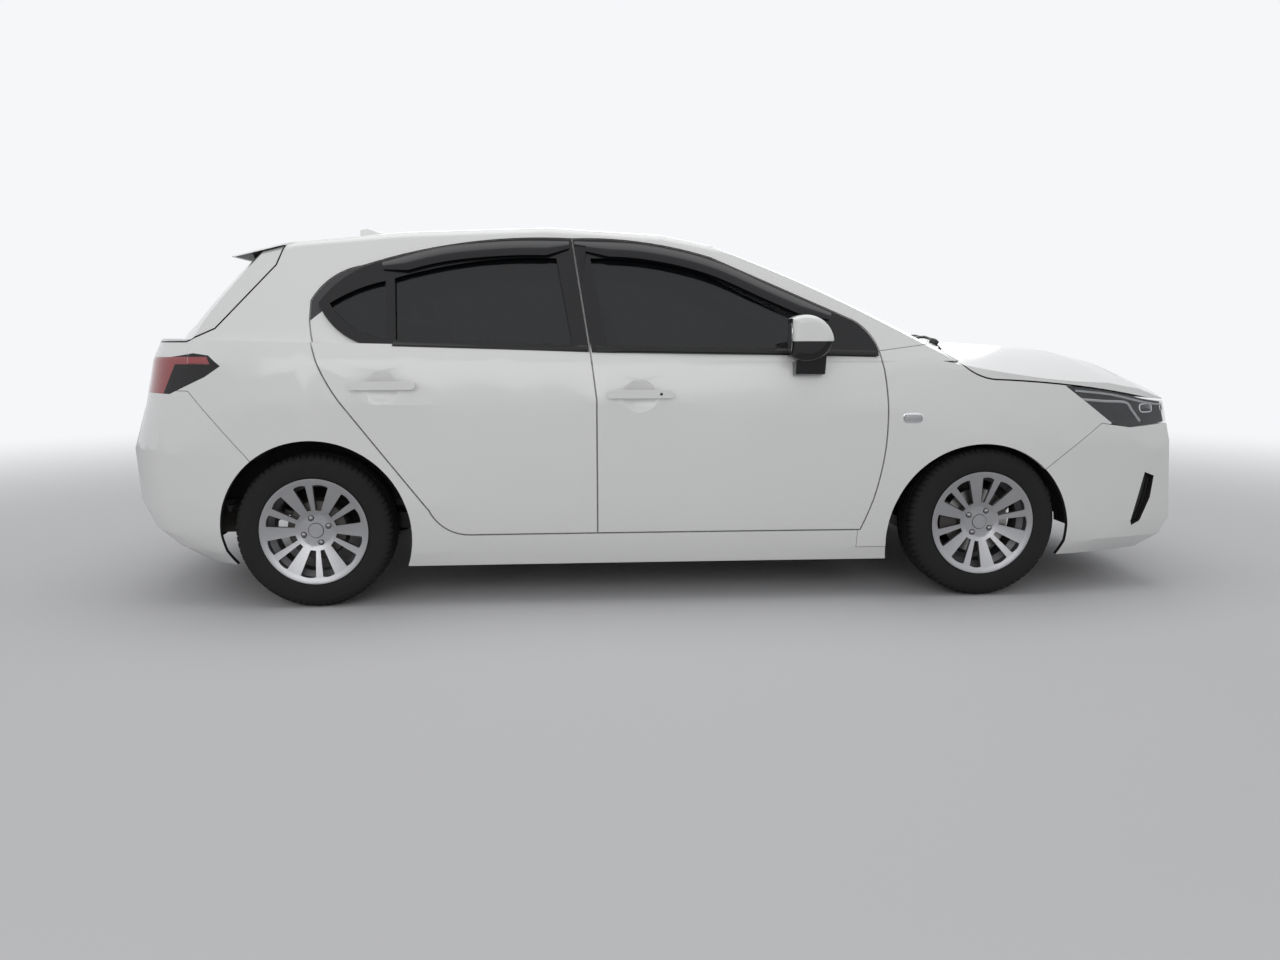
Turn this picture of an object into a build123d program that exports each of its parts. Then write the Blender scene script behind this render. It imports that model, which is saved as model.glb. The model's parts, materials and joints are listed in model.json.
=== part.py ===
"""Small five-door hatchback car, 4.35 m long, as separate pieces that fit together.

Millimetres. +X is forward, +Y is the car's left, +Z is up. The origin is on the
ground, under the middle of the car's overall box.
"""
import os
from math import cos, radians, sin

from build123d import *

os.makedirs("parts", exist_ok=True)

# Driving dimensions of the whole car
car_length = 4345.0
front_overhang = 924.5
wheelbase = 2589.0
front_track = 1497.0
rear_track = 1483.0
tyre_radius = 295.0
tyre_width = 185.0

nose_x = car_length / 2
tail_x = -car_length / 2
front_axle_x = nose_x - front_overhang
rear_axle_x = front_axle_x - wheelbase

# Sheet and panel thicknesses, and the gaps between panels
panel = 20.0
panel_seat = 27.0
frame_panel = 8.0
frame_seat = 14.0
frame_depth = 45.0
lamp_depth = 60.0
door_inner_y = 755.0
cabin_half = 735.0
shut_gap = 6.0
hood_rear_gap = 14.0
seam = 2.0
glass_seam = 0.3
roof_half = 545.0
lamp_inner_y = 430.0
aperture_step = 10.0
door_step = 26.0
visor_stand = 8.0
grille_lap = 12.0
intake_x = 1900.0
intake_z = 300.0
intake_width = 1080.0
intake_height = 170.0
spoiler_stand = 8.0
fin_half = 14.0
fin_taper = 12.0
mirror_in_y = 885.0
mirror_out_y = 975.0
mirror_round = 30.0
handle_in_y = 888.0
handle_thick = 14.0
handle_height = 30.0
handle_length = 250.0
cup_y = 1006.0
cup_r = 150.0
handle_reach = 96.0
handle_foot_r = 11.0

# Lower body: outlines seen from above, one for each level.
# Columns: height, tilt in degrees (rises to the rear), nose, front corner half width,
# half width at the front axle, in the middle, at the rear axle, rear corner half width, tail
LOWER = [
    (150, 0.0, 2080, 640, 800, 792, 800, 620, -1960),
    (215, 0.0, 2150, 690, 838, 820, 835, 680, -2045),
    (290, 0.0, 2172.5, 715, 852, 838, 850, 712, -2118),
    (400, 0.0, 2166, 712, 861, 860, 864, 722, -2162),
    (600, 0.0, 2158, 705, 866, 870, 870, 726, -2172.5),
    (770, -0.4, 2128, 690, 861, 874, 872, 716, -2118),
    (912, -0.9, 2100, 660, 845, 861, 864, 700, -2090),
    (1050, -1.4, 2060, 610, 792, 799, 800, 640, -2035),
]
first_crease = 3
second_crease = 6
nose_sweep = 88.0
tail_sweep = 150.0
front_corner_r = 170.0
rear_corner_r = 240.0
belt_z = 974.0
belt_slope = 0.025

# Hood: arched sections across the car. Columns: x, height in the middle, height at hood_half
HOOD = [
    (960, 1020, 952),
    (1250, 1006, 905),
    (1500, 993, 866),
    (1757, 973, 829),
    (1912, 936, 786),
    (2049, 874, 728),
    (2200, 770, 630),
]
hood_half = 800.0

# Roof and sides above the belt: sections across the car.
# Columns: x, roof height in the middle, height of the rail, half width at sill_z, half width at the rail
ROOF = [
    (-2150, 1235, 1180, 728, 590),
    (-1700, 1362, 1312, 806, 622),
    (-1400, 1432, 1386, 838, 626),
    (-1000, 1469, 1423, 850, 622),
    (-450, 1488, 1443, 852, 614),
    (0, 1461, 1414, 852, 628),
    (300, 1397, 1350, 850, 654),
    (800, 1285, 1232, 842, 700),
    (1400, 1140, 1085, 810, 735),
]
sill_z = 930.0
rail_r = 45.0

# Glass ends: bows seen from above. Columns: height, windscreen x, tail glass x, on the middle line
ENDS = [
    (900, 1425, -2036),
    (1051, 1108, -1972),
    (1200, 778, -1838),
    (1330, 450, -1706),
    (1500, -30, -1500),
]
screen_bow_r = 1500.0
tail_bow_r = 1350.0
ends_half = 1000.0
screen_lean = 2.3
tail_lean = 1.4
cowl_x = 1040.0
full_half = 1000.0
full_height = 1600.0

# Wheel arches: centre and radius of the round opening, seen from the side
front_arch = (1230.0, 243.0)
front_arch_r = 368.0
rear_arch = (-1332.0, 285.0)
rear_arch_r = 360.0
arch_inner_y = 600.0
arch_wall = 25.0


# Wheels: distances outwards from the wheel's middle plane, and radii
bead_r = 190.5
bead_half = 76.0
wall_r = 243.0
shoulder_half = 86.0
shoulder_r = 276.0
tread_half = 66.0
flange_r = 203.0
flange_foot = 80.0
rim_half = 88.0
rim_wall = 6.0
well_r = 170.0
well_half = 26.0
well_foot = 42.0
face_edge = 84.0
face_mid = 71.0
face_mid_r = 125.0
face_back = 66.0
hub_front = 54.5
hub_back = 41.5
hub_r = 60.0
cap_r = 30.0
cap_front = 58.0
cap_round = 3.0
window_in_r = 78.0
window_out_r = 176.0
window_bow = 5.0
window_depth = 80.0
wide_spoke = (15.0, 27.0)
narrow_spoke = (8.0, 13.5)
spoke_pairs = 6
spoke_step = 32.0
front_phase = 40.0
rear_phase = 2.0
nut_circle_r = 50.0
nut_count = 4
nut_offset = 18.0
nut_hole_r = 12.0
nut_hole_depth = 8.0

# Turned profiles: (distance outwards from the wheel's middle plane, radius)
FRONT_DISC = [(31.5, 26), (41.5, 26), (41.5, 70), (18.5, 70), (18.5, 128), (-3.5, 128), (-3.5, 62), (31.5, 62)]
REAR_DRUM = [(31.5, 26), (41.5, 26), (41.5, 62), (34, 110), (20, 116), (-28, 116), (-28, 106), (24, 106), (31.5, 60)]
KNUCKLE_HUB = [(-108.5, 0), (-108.5, 60), (-58.5, 60), (-16, 54), (-10, 46), (31.2, 46), (31.2, 0)]
REAR_HUB = [(-141.5, 0), (-141.5, 40), (-44, 40), (-42, 112), (-34, 112), (-34, 40), (31.2, 34), (31.2, 0)]

# Front knuckle, strut, caliper and drive shaft
knuckle_half = 22.0
strut_foot = (front_axle_x, -590.0, 380.0)
strut_way = (0, 30.0, 485.0)
strut_length = 480.0
strut_r = 26.0
spring_low = 262.0
spring_seat_r = 66.0
seat_thick = 6.0
boot_r = 48.0
disc_in_y = 745.0
disc_thick = 22.0
disc_r = 128.0
disc_clear = 5.0
caliper_in_y = 715.0
caliper_out_y = 783.0
caliper_in_r = 86.0
caliper_out_r = 152.0
caliper_start = 148.0
caliper_span = 54.0
bracket_thick = 20.0
ball_y = 690.0
ball_z = 190.0
ball_r = 22.0
pivot_y = 669.8
socket_r = 41.0
socket_reach = 90.0
joint_clear = 5.0
shaft_r = 13.0
inner_joint_r = 42.0
inner_joint_length = 90.0
engine_half = 330.0

# Front frame
rail_in_y = 400.0
rail_width = 68.0
apron_y = 488.0
apron_thick = 20.0
tower_z = 866.0
hood_stop = (1300.0, -640.0)
hood_stop_r = 8.0
hood_stop_top = 914.0
tower_thick = 18.0
carrier_half = 560.0
carrier_thick = 35.0
carrier_mid_z = 505.0
rail_low_z = 380.0

# Front subframe and arch liners
subframe_z = 164.0
subframe_thick = 48.0
arm_z = 149.7
arm_thick = 22.0
liner_centre = (1235.0, 250.0)
liner_r = 396.0
liner_thick = 5.0
liner_start = 3.0
liner_span = 119.0
liner_in_y = 650.0
liner_out_y = 780.0

# Floor, rear axle, tank and exhaust
floor_half = 700.0
floor_tail_half = 560.0
rear_inner_y = 600.0
wheelhouse_in_y = 420.0
beam_half = 550.0
arm_in_y = 540.0
arm_out_y = 602.0
spring_z = 256.0
spring_r = 52.0
floor_low_z = 355.0
damper_r = 20.0
damper_length = 82.0
tank_z = 190.0
pipe_r = 22.0
tail_pipe_r = 24.0
tail_pipe_length = 60.0
hanger_r = 9.0

# Cabin
console_z = 225.0
console_height = 330.0
column_way = (0.9, 0.0, -0.436)
wheel_centre = (545.0, -360.0, 900.0)
column_r = 28.0
hub_reach = 55.0
wheel_hub = (595.4, -360.0, 875.6)
column_length = 150.0
wheel_ring_r = 178.0
grip_r = 15.0
boss_r = 62.0
spoke_thick = 9.0
seat_in_y = 125.0
seat_width = 480.0
rear_seat_half = 560.0


def tilted(height, tilt):
    """A level plane at this height, tipped nose down by the tilt in degrees."""
    return Plane(origin=(0, 0, height), x_dir=(cos(radians(tilt)), 0, sin(radians(tilt))),
                 z_dir=(-sin(radians(tilt)), 0, cos(radians(tilt))))


def lower_form(inset):
    """Body below the glass as one closed form, its skin moved inwards by the inset."""
    spans = [LOWER[:first_crease + 1], LOWER[first_crease:second_crease + 1], LOWER[second_crease:]]
    with BuildPart() as form:
        for span in spans:
            for height, tilt, nose, nose_w, front_w, mid_w, rear_w, tail_w, tail in span:
                front_corner = (nose - inset - nose_sweep, nose_w - inset)
                rear_corner = (tail + inset + tail_sweep, tail_w - inset)
                with BuildSketch(tilted(height, tilt)) as outline:
                    with BuildLine():
                        side = ThreePointArc((front_axle_x, front_w - inset), (0, mid_w - inset),
                                             (rear_axle_x, rear_w - inset))
                        TangentArc(side @ 0, front_corner, tangent=(side % 0) * -1)
                        TangentArc(side @ 1, rear_corner, tangent=side % 1)
                        TangentArc((nose - inset, 0), front_corner, tangent=(0, 1))
                        TangentArc((tail + inset, 0), rear_corner, tangent=(0, 1))
                        mirror(about=Plane.XZ)
                    make_face()
                    corners = outline.vertices().sort_by(Axis.X)
                    fillet(corners[:2], rear_corner_r)
                    fillet(corners[-2:], front_corner_r)
            loft(ruled=True)
    return form.part


def hood_form(drop):
    """Everything under the hood's arched top, lowered by the drop."""
    edge_half = hood_half + 100
    with BuildPart() as form:
        for x, crown, edge in HOOD:
            outer = crown - (crown - edge) * (edge_half / hood_half) ** 2
            with BuildSketch(Plane.YZ.offset(x)):
                with BuildLine():
                    ThreePointArc((-edge_half, outer - drop), (0, crown - drop), (edge_half, outer - drop))
                    Polyline((edge_half, outer - drop), (edge_half, 0), (-edge_half, 0), (-edge_half, outer - drop))
                make_face()
        loft(ruled=True)
    return form.part


def roof_form(inset):
    """Roof and leaning sides above the belt, running on past the glass at both ends."""
    with BuildPart() as form:
        for x, top, rail_z, low_w, rail_w in ROOF:
            with BuildSketch(Plane.YZ.offset(x)):
                with BuildLine():
                    ThreePointArc((-rail_w + inset, rail_z - inset), (0, top - inset), (rail_w - inset, rail_z - inset))
                    Polyline((rail_w - inset, rail_z - inset), (low_w - inset, sill_z), (-low_w + inset, sill_z),
                             (-rail_w + inset, rail_z - inset))
                face = make_face()
                fillet(face.vertices().group_by(Axis.Y)[-1], rail_r)
        loft(ruled=True)
    return form.part


def top_form(inset):
    """Roof and leaning sides above the belt, cut off by the two bowed glass ends."""
    with BuildPart() as form:
        add(roof_form(inset))
        add(ends_form(inset), mode=Mode.INTERSECT)
    return form.part


def ends_form(inset):
    """What lies between the windscreen's and the tail glass's bowed surfaces."""
    with BuildPart() as form:
        for z, screen_x, tail_glass_x in ENDS:
            front = screen_x - inset * screen_lean
            back = tail_glass_x + inset * tail_lean
            with BuildSketch(Plane.XY.offset(z)):
                with BuildLine():
                    screen = ThreePointArc((front - bow(screen_bow_r), -ends_half), (front, 0),
                                           (front - bow(screen_bow_r), ends_half))
                    rear = ThreePointArc((back + bow(tail_bow_r), -ends_half), (back, 0),
                                         (back + bow(tail_bow_r), ends_half))
                    Line(screen @ 0, rear @ 0)
                    Line(screen @ 1, rear @ 1)
                make_face()
        loft()
    return form.part


def bow(radius):
    """How far a bow of this radius falls back at ends_half."""
    return radius - (radius ** 2 - ends_half ** 2) ** 0.5



def side_prism(outline, grow, near, far):
    """An outline drawn in side view, grown and carried through the car's right side between two distances."""
    with BuildPart() as prism:
        with BuildSketch(Plane.XZ.offset(near)):
            add(outline)
            if grow:
                offset(amount=grow)
        extrude(amount=far - near)
    return prism.part


def across_prism(outline, grow):
    """An outline drawn in side view, carried through the whole width of the car."""
    return side_prism(outline, grow, -full_half, full_half)


def plan_prism(outline, grow):
    """An outline drawn from above, carried through the whole height of the car."""
    with BuildPart() as prism:
        with BuildSketch(Plane.XY):
            add(outline)
            if grow:
                offset(amount=grow)
        extrude(amount=full_height)
    return prism.part


def under_belt(drop):
    """Everything below the belt line in the cabin, and below the hood's arched top in front of it."""
    with BuildPart() as form:
        with BuildSketch(Plane.XZ):
            with BuildLine():
                Polyline((cowl_x, 0), (cowl_x, belt_z - belt_slope * cowl_x), (tail_x - 50, belt_z - belt_slope * tail_x),
                         (tail_x - 50, 0), close=True)
            make_face()
        extrude(amount=full_half, both=True)
        add(hood_form(drop))
    return form.part


def whole_form(lower, top, drop):
    """The whole closed body, from its lower and its upper form."""
    with BuildPart() as form:
        add(lower)
        add(under_belt(drop), mode=Mode.INTERSECT)
        add(top)
    return form.part


def arch_hole(centre, radius, near, far):
    """A round wheel opening through the car's right side."""
    with BuildPart() as hole:
        with BuildSketch(Plane.XZ.offset(near)):
            with Locations(centre):
                Circle(radius)
        extrude(amount=far - near)
    return hole.part


def both_sides(piece):
    """The piece and the same piece on the left, which don't touch."""
    return Compound(children=[*piece.solids(), *mirror(piece, about=Plane.XZ).solids()])


def save(piece, name):
    """Write one finished piece."""
    piece.label = name
    export_step(piece, f"parts/{name}.step")


def around(centre, reach, angle):
    """A point at this distance and angle from a centre, in side view."""
    return (centre[0] + reach * cos(radians(angle)), centre[1] + reach * sin(radians(angle)))


def around_front(angle, reach):
    """A point round the front wheel's centre, in side view."""
    return around((front_axle_x, tyre_radius), reach, angle)


# Outlines in side view: X forwards, Z up
with BuildSketch() as front_door_line:
    with BuildLine():
        ThreePointArc((-352, 1398), (-80, 1384), (180, 1326))
        Line((180, 1326), (722, 1083))
        ThreePointArc((722, 1083), (778, 1035), (812, 965))
        ThreePointArc((812, 965), (843, 700), (754, 280))
        Polyline((754, 280), (-265, 280), (-265, 790), (-286, 960), (-352, 1398))
    make_face()

with BuildSketch() as rear_door_line:
    with BuildLine():
        ThreePointArc((-358, 1398), (-780, 1378), (-1150, 1290))
        ThreePointArc((-1150, 1290), (-1270, 1237), (-1331, 1160))
        Line((-1331, 1160), (-1331, 1086))
        ThreePointArc((-1331, 1086), (-1296, 948), (-1216, 794))
        Line((-1216, 794), (-901, 378))
        ThreePointArc((-901, 378), (-850, 312), (-753, 280))
        Polyline((-753, 280), (-271, 280), (-271, 790), (-292, 960), (-358, 1398))
    make_face()

with BuildSketch() as front_window_line:
    with BuildLine():
        ThreePointArc((-296, 1358), (-70, 1344), (163, 1290))
        Line((163, 1290), (690, 1053))
        Polyline((690, 1053), (760, 962), (-232, 986), (-296, 1358))
    make_face()
    fillet(front_window_line.vertices(), 12)

with BuildSketch() as rear_window_line:
    with BuildLine():
        ThreePointArc((-412, 1358), (-770, 1340), (-1110, 1256))
        ThreePointArc((-1110, 1256), (-1215, 1212), (-1280, 1150))
        ThreePointArc((-1280, 1150), (-1180, 1046), (-1010, 1008))
        Polyline((-1010, 1008), (-352, 990), (-412, 1358))
    make_face()

# Black trim round each window opening: visor along the top, pillar cover, belt moulding, and the daylight left open
with BuildSketch() as front_trim_line:
    with BuildLine():
        ThreePointArc((-351, 1397), (-80, 1383), (180, 1325))
        Line((180, 1325), (720, 1083))
        ThreePointArc((720, 1083), (776, 1033), (808, 972))
        Polyline((808, 972), (809, 950), (-284, 966), (-351, 1397))
    make_face()
    with BuildLine():
        ThreePointArc((-285, 1323), (-70, 1311), (150, 1262))
        Polyline((150, 1262), (591, 1064), (397, 976), (-228, 988), (-285, 1323))
    make_face(mode=Mode.SUBTRACT)

with BuildSketch() as rear_trim_line:
    with BuildLine():
        ThreePointArc((-359, 1397), (-780, 1377), (-1130, 1294))
        ThreePointArc((-1130, 1294), (-1240, 1226), (-1304, 1152))
        ThreePointArc((-1304, 1152), (-1195, 1028), (-1010, 988))
        Polyline((-1010, 988), (-294, 968), (-359, 1397))
    make_face()
    with BuildLine():
        ThreePointArc((-415, 1323), (-720, 1310), (-1024, 1245))
        Polyline((-1024, 1245), (-1010, 1012), (-356, 992), (-415, 1323))
    make_face(mode=Mode.SUBTRACT)
    with BuildLine():
        ThreePointArc((-1058, 1235), (-1170, 1200), (-1262, 1150))
        ThreePointArc((-1262, 1150), (-1170, 1061), (-1044, 1018))
        Line((-1044, 1018), (-1058, 1235))
    make_face(mode=Mode.SUBTRACT)

with BuildSketch() as front_bumper_line:
    with BuildLine():
        Polyline((1400, 440), (1552, 558), (1726, 682), (1865, 662), (2300, 690), (2300, 100), (1400, 100), (1400, 440))
    make_face()

with BuildSketch() as headlamp_line:
    with BuildLine():
        ThreePointArc((1560, 832), (1760, 810), (1960, 772))
        Polyline((1960, 772), (2300, 736), (2300, 704), (1960, 672), (1865, 662), (1775, 681), (1700, 733), (1560, 832))
    make_face()

with BuildSketch() as rear_bumper_line:
    with BuildLine():
        Polyline((-1450, 440), (-1571, 588), (-1786, 826), (-2300, 826), (-2300, 100), (-1450, 100), (-1450, 440))
    make_face()

with BuildSketch() as tail_lamp_line:
    with BuildLine():
        Polyline((-1651, 919), (-1700, 958), (-1760, 966), (-1860, 952), (-2300, 948), (-2300, 828), (-1864, 815),
                 (-1715, 879), (-1651, 919))
    make_face()

with BuildSketch() as tailgate_top_line:
    with BuildLine():
        Polyline((-1445, 1600), (-1445, 1402), (-1480, 1300), (-1690, 1060), (-1800, 1012), (-2300, 1012), (-2300, 1600),
                 (-1445, 1600))
    make_face()

with BuildSketch() as fender_line:
    with BuildLine():
        Polyline((748, 205), (748, 500), (800, 966), (1100, 1004), (1790, 1004), (1790, 700), (1500, 430), (1500, 205),
                 (748, 205))
    make_face()

with BuildSketch() as hood_side_line:
    with BuildLine():
        ThreePointArc((1085, 1004), (1148, 912), (1262, 862))
        ThreePointArc((1262, 862), (1600, 835), (1960, 778))
        Polyline((1960, 778), (2300, 742), (2300, 1200), (1000, 1200), (1000, 1004), (1085, 1004))
    make_face()

with BuildSketch() as vent_line:
    with BuildLine():
        Polyline((1946, 480), (1994, 463), (1979, 376), (1931, 281), (1898, 264), (1887, 285), (1946, 480))
    make_face()

with BuildSketch() as spoiler_line:
    with BuildLine():
        Polyline((-1452, 1520), (-1452, 1375), (-1640, 1330), (-1712, 1344), (-1712, 1520), (-1452, 1520))
    make_face()

with BuildSketch() as mirror_line:
    with BuildLine():
        ThreePointArc((446, 1088), (560, 1084), (606, 1012))
        ThreePointArc((606, 1012), (575, 958), (446, 950))
        Line((446, 950), (446, 1088))
    make_face()

# Outlines seen from above: X forwards, Y to the left
with BuildSketch() as hood_line:
    with BuildLine():
        ThreePointArc((1092, 722), (1219, 360), (1262, 0))
        Polyline((2300, 0), (2300, 1000), (1092, 1000), (1092, 722))
        mirror(about=Plane.XZ)
    make_face()

with BuildSketch() as cowl_line:
    with BuildLine():
        ThreePointArc((1086, 722), (1213, 360), (1256, 0))
        ThreePointArc((1036, 722), (1163, 360), (1206, 0))
        Line((1036, 722), (1086, 722))
        mirror(about=Plane.XZ)
    make_face()


# Closed forms that the panels are cut from, each one further inside the last
lower_0 = lower_form(0)
lower_deep = lower_form(lamp_depth)
top_0 = top_form(0)
top_1 = top_form(frame_panel)
top_2 = top_form(frame_seat)
top_deep = top_form(frame_depth)
top_proud = top_form(-visor_stand)
outer_0 = whole_form(lower_0, top_0, 0)
outer_1 = whole_form(lower_form(panel), top_1, panel)
outer_2 = whole_form(lower_form(panel_seat), top_2, panel_seat)

# Space inside the cabin and the boot
with BuildPart() as cabin_space:
    with BuildSketch(Plane.XZ):
        with BuildLine():
            Polyline((840, 225), (930, 480), (960, 860), (1000, 945), (-2300, 1004), (-2300, 380), (-780, 380),
                     (-740, 225), (840, 225))
        make_face()
    extrude(amount=cabin_half, both=True)
    add(lower_deep, mode=Mode.INTERSECT)
    add(both_sides(arch_hole(rear_arch, rear_arch_r + arch_wall, arch_inner_y - arch_wall, full_half)), mode=Mode.SUBTRACT)
    add(both_sides(arch_hole(front_arch, front_arch_r + 60, 420, full_half)), mode=Mode.SUBTRACT)
    add(top_deep)

# Space under the floor, behind the firewall's line
with BuildPart() as under_space:
    with BuildSketch(Plane.XZ):
        with BuildLine():
            Polyline((-2300, 0), (1300, 0), (1300, 860), (960, 860), (930, 480), (840, 225), (-740, 225), (-780, 380),
                     (-2300, 380), (-2300, 0))
        make_face()
    extrude(amount=700, both=True)

# Windscreen and tail glass outlines, seen along the car: Y to the left, Z up
with BuildSketch() as screen_line:
    with BuildLine():
        Polyline((0, 1400), (-530, 1388), (-620, 1262), (-722, 1010), (0, 1006))
        mirror(about=Plane.YZ)
    make_face()
    fillet(screen_line.vertices().group_by(Axis.Y)[-2], 40)

with BuildSketch() as tail_glass_line:
    with BuildLine():
        Polyline((0, 1362), (-520, 1350), (-640, 1070), (-560, 1052), (0, 1046))
        mirror(about=Plane.YZ)
    make_face()

with BuildSketch() as tailgate_low_line:
    with BuildLine():
        Polyline((0, 1030), (-600, 1030), (-600, 830), (-560, 706), (0, 700))
        mirror(about=Plane.YZ)
    make_face()


def along_prism(outline, grow, start, end):
    """An outline seen along the car, carried from one x to another."""
    with BuildPart() as prism:
        with BuildSketch(Plane.YZ.offset(start)):
            add(outline.sketch)
            if grow:
                offset(amount=grow)
        extrude(amount=end - start)
    return prism.part


def tailgate_region(grow):
    """What belongs to the tailgate, seen from the side above the lamps and from behind below them."""
    with BuildPart() as region:
        add(across_prism(tailgate_top_line.sketch, grow))
        add(along_prism(tailgate_low_line, grow, -2300, -1800))
    return region.part


def front_openings(grow):
    """Low air intake and the slanted vents at the corners of the front bumper."""
    with BuildPart() as openings:
        with BuildSketch(Plane.YZ.offset(intake_x)):
            with Locations((0, intake_z)):
                Trapezoid(intake_width + 2 * grow, intake_height + 2 * grow, 80)
        extrude(amount=full_half)
        add(side_prism(vent_line.sketch, grow, 560, full_half))
        add(side_prism(vent_line.sketch, grow, -full_half, -560))
    return openings.part


cowl_cut = plan_prism(cowl_line.sketch, seam)
headlamp_cut = side_prism(headlamp_line.sketch, glass_seam, lamp_inner_y - glass_seam, full_half)
tail_lamp_cut = side_prism(tail_lamp_line.sketch, glass_seam, 0, full_half)
front_bumper_cut = across_prism(front_bumper_line.sketch, seam)
rear_bumper_cut = across_prism(rear_bumper_line.sketch, seam)
front_arch_cut = arch_hole(front_arch, front_arch_r, arch_inner_y, full_half)
rear_arch_cut = arch_hole(rear_arch, rear_arch_r, arch_inner_y, full_half)

with BuildPart() as door_cuts:
    for line in (front_door_line, rear_door_line):
        add(side_prism(line.sketch, shut_gap, 500, full_half))
    add(outer_2, mode=Mode.SUBTRACT)
    for line in (front_door_line, rear_door_line):
        add(side_prism(line.sketch, -aperture_step, 500, full_half))

with BuildPart() as fender_cut:
    add(side_prism(fender_line.sketch, seam, 500, full_half))
    add(outer_2, mode=Mode.SUBTRACT)

with BuildPart() as hood_region:
    add(across_prism(hood_side_line.sketch, 0))
    add(plan_prism(hood_line.sketch, 0), mode=Mode.INTERSECT)

with BuildPart() as hood_clear:
    add(across_prism(hood_side_line.sketch, shut_gap))
    add(plan_prism(hood_line.sketch, hood_rear_gap), mode=Mode.INTERSECT)

# Body side: A-pillar, roof rail, B-pillar, C-pillar, rear quarter and sill in one pressing
with BuildPart() as body_side:
    with BuildSketch(Plane.XZ.offset(roof_half)):
        with BuildLine():
            Polyline((1010, 140), (1010, 860), (1110, 860), (1110, 1600), (-2300, 1600), (-2300, 140), (1010, 140))
        make_face()
    extrude(amount=full_half)
    add(outer_0, mode=Mode.INTERSECT)
    for space in (tailgate_region(shut_gap), rear_bumper_cut, along_prism(screen_line, glass_seam, 100, 1500),
                  hood_clear.part, cowl_cut, tail_lamp_cut, front_arch_cut, rear_arch_cut, under_space.part,
                  cabin_space.part, fender_cut.part, door_cuts.part):
        add(space, mode=Mode.SUBTRACT)
save(body_side.part, "body_side_right")
save(mirror(body_side.part, about=Plane.XZ), "body_side_left")

with BuildPart() as roof:
    with BuildSketch(Plane.XZ):
        with BuildLine():
            Polyline((800, 1250), (800, 1600), (-1445 + shut_gap, 1600), (-1445 + shut_gap, 1250), (800, 1250))
        make_face()
    extrude(amount=roof_half - glass_seam, both=True)
    add(top_0, mode=Mode.INTERSECT)
    add(top_deep, mode=Mode.SUBTRACT)
    add(along_prism(screen_line, glass_seam, 100, 1500), mode=Mode.SUBTRACT)
    with BuildSketch(Plane.XZ):
        with BuildLine():
            Polyline((-1125, 1440), (-1130, 1462), (-1262, 1508), (-1300, 1500), (-1302, 1440), (-1125, 1440))
        make_face()
    extrude(amount=fin_half, both=True, taper=fin_taper)
save(roof.part, "roof")

with BuildPart() as windscreen:
    add(along_prism(screen_line, 0, 100, 1500))
    add(top_1, mode=Mode.INTERSECT)
    add(top_2, mode=Mode.SUBTRACT)
save(windscreen.part, "windscreen")

with BuildPart() as hood:
    add(hood_region.part)
    add(outer_0, mode=Mode.INTERSECT)
    add(outer_1, mode=Mode.SUBTRACT)
save(hood.part, "hood")

# Plastic cowl between hood and windscreen, and the closed scuttle under the glass behind it
with BuildPart() as cowl:
    with BuildSketch(Plane.XZ):
        with BuildLine():
            Polyline((962, 860), (1130, 860), (1130, 892), (1300, 892), (1300, 1100), (962, 1100), (962, 860))
        make_face()
    extrude(amount=roof_half - glass_seam, both=True)
    add(outer_0, mode=Mode.INTERSECT)
    for space in (hood_clear.part, along_prism(screen_line, glass_seam, 100, 1500), cabin_space.part):
        add(space, mode=Mode.SUBTRACT)
save(cowl.part, "cowl")

with BuildPart() as fender:
    add(side_prism(fender_line.sketch, 0, roof_half, full_half))
    add(outer_0, mode=Mode.INTERSECT)
    add(outer_1, mode=Mode.SUBTRACT)
    for space in (hood_clear.part, headlamp_cut, front_bumper_cut, front_arch_cut, side_prism(front_door_line.sketch,
                  shut_gap, 500, full_half), along_prism(screen_line, seam, 100, 1500)):
        add(space, mode=Mode.SUBTRACT)
save(both_sides(fender.part), "front_fenders")

with BuildPart() as front_bumper:
    add(across_prism(front_bumper_line.sketch, 0))
    add(outer_0, mode=Mode.INTERSECT)
    add(outer_1, mode=Mode.SUBTRACT)
    for space in (headlamp_cut, front_arch_cut):
        add(space, mode=Mode.SUBTRACT)
        add(mirror(space, about=Plane.XZ), mode=Mode.SUBTRACT)
    add(front_openings(0), mode=Mode.SUBTRACT)
save(front_bumper.part, "front_bumper")

with BuildPart() as headlamp:
    add(side_prism(headlamp_line.sketch, 0, lamp_inner_y, full_half))
    add(outer_0, mode=Mode.INTERSECT)
    add(lower_deep, mode=Mode.SUBTRACT)
save(both_sides(headlamp.part), "headlamps")

with BuildPart() as grille:
    with BuildSketch(Plane.XZ):
        with BuildLine():
            Polyline((1950, 672), (1950, 772), (2300, 735), (2300, 692), (1950, 672))
        make_face()
    extrude(amount=lamp_inner_y - glass_seam, both=True)
    add(front_openings(grille_lap))
    add(outer_1, mode=Mode.INTERSECT)
    add(lower_deep, mode=Mode.SUBTRACT)
save(grille.part, "grilles")

with BuildPart() as rear_bumper:
    add(across_prism(rear_bumper_line.sketch, 0))
    add(outer_0, mode=Mode.INTERSECT)
    add(outer_1, mode=Mode.SUBTRACT)
    add(tailgate_region(shut_gap), mode=Mode.SUBTRACT)
    for space in (rear_arch_cut, tail_lamp_cut):
        add(space, mode=Mode.SUBTRACT)
        add(mirror(space, about=Plane.XZ), mode=Mode.SUBTRACT)
save(rear_bumper.part, "rear_bumper")

with BuildPart() as tail_lamp:
    add(side_prism(tail_lamp_line.sketch, 0, 500, full_half))
    add(outer_0, mode=Mode.INTERSECT)
    add(lower_deep, mode=Mode.SUBTRACT)
    add(tailgate_region(shut_gap), mode=Mode.SUBTRACT)
save(both_sides(tail_lamp.part), "tail_lamps")

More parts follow.
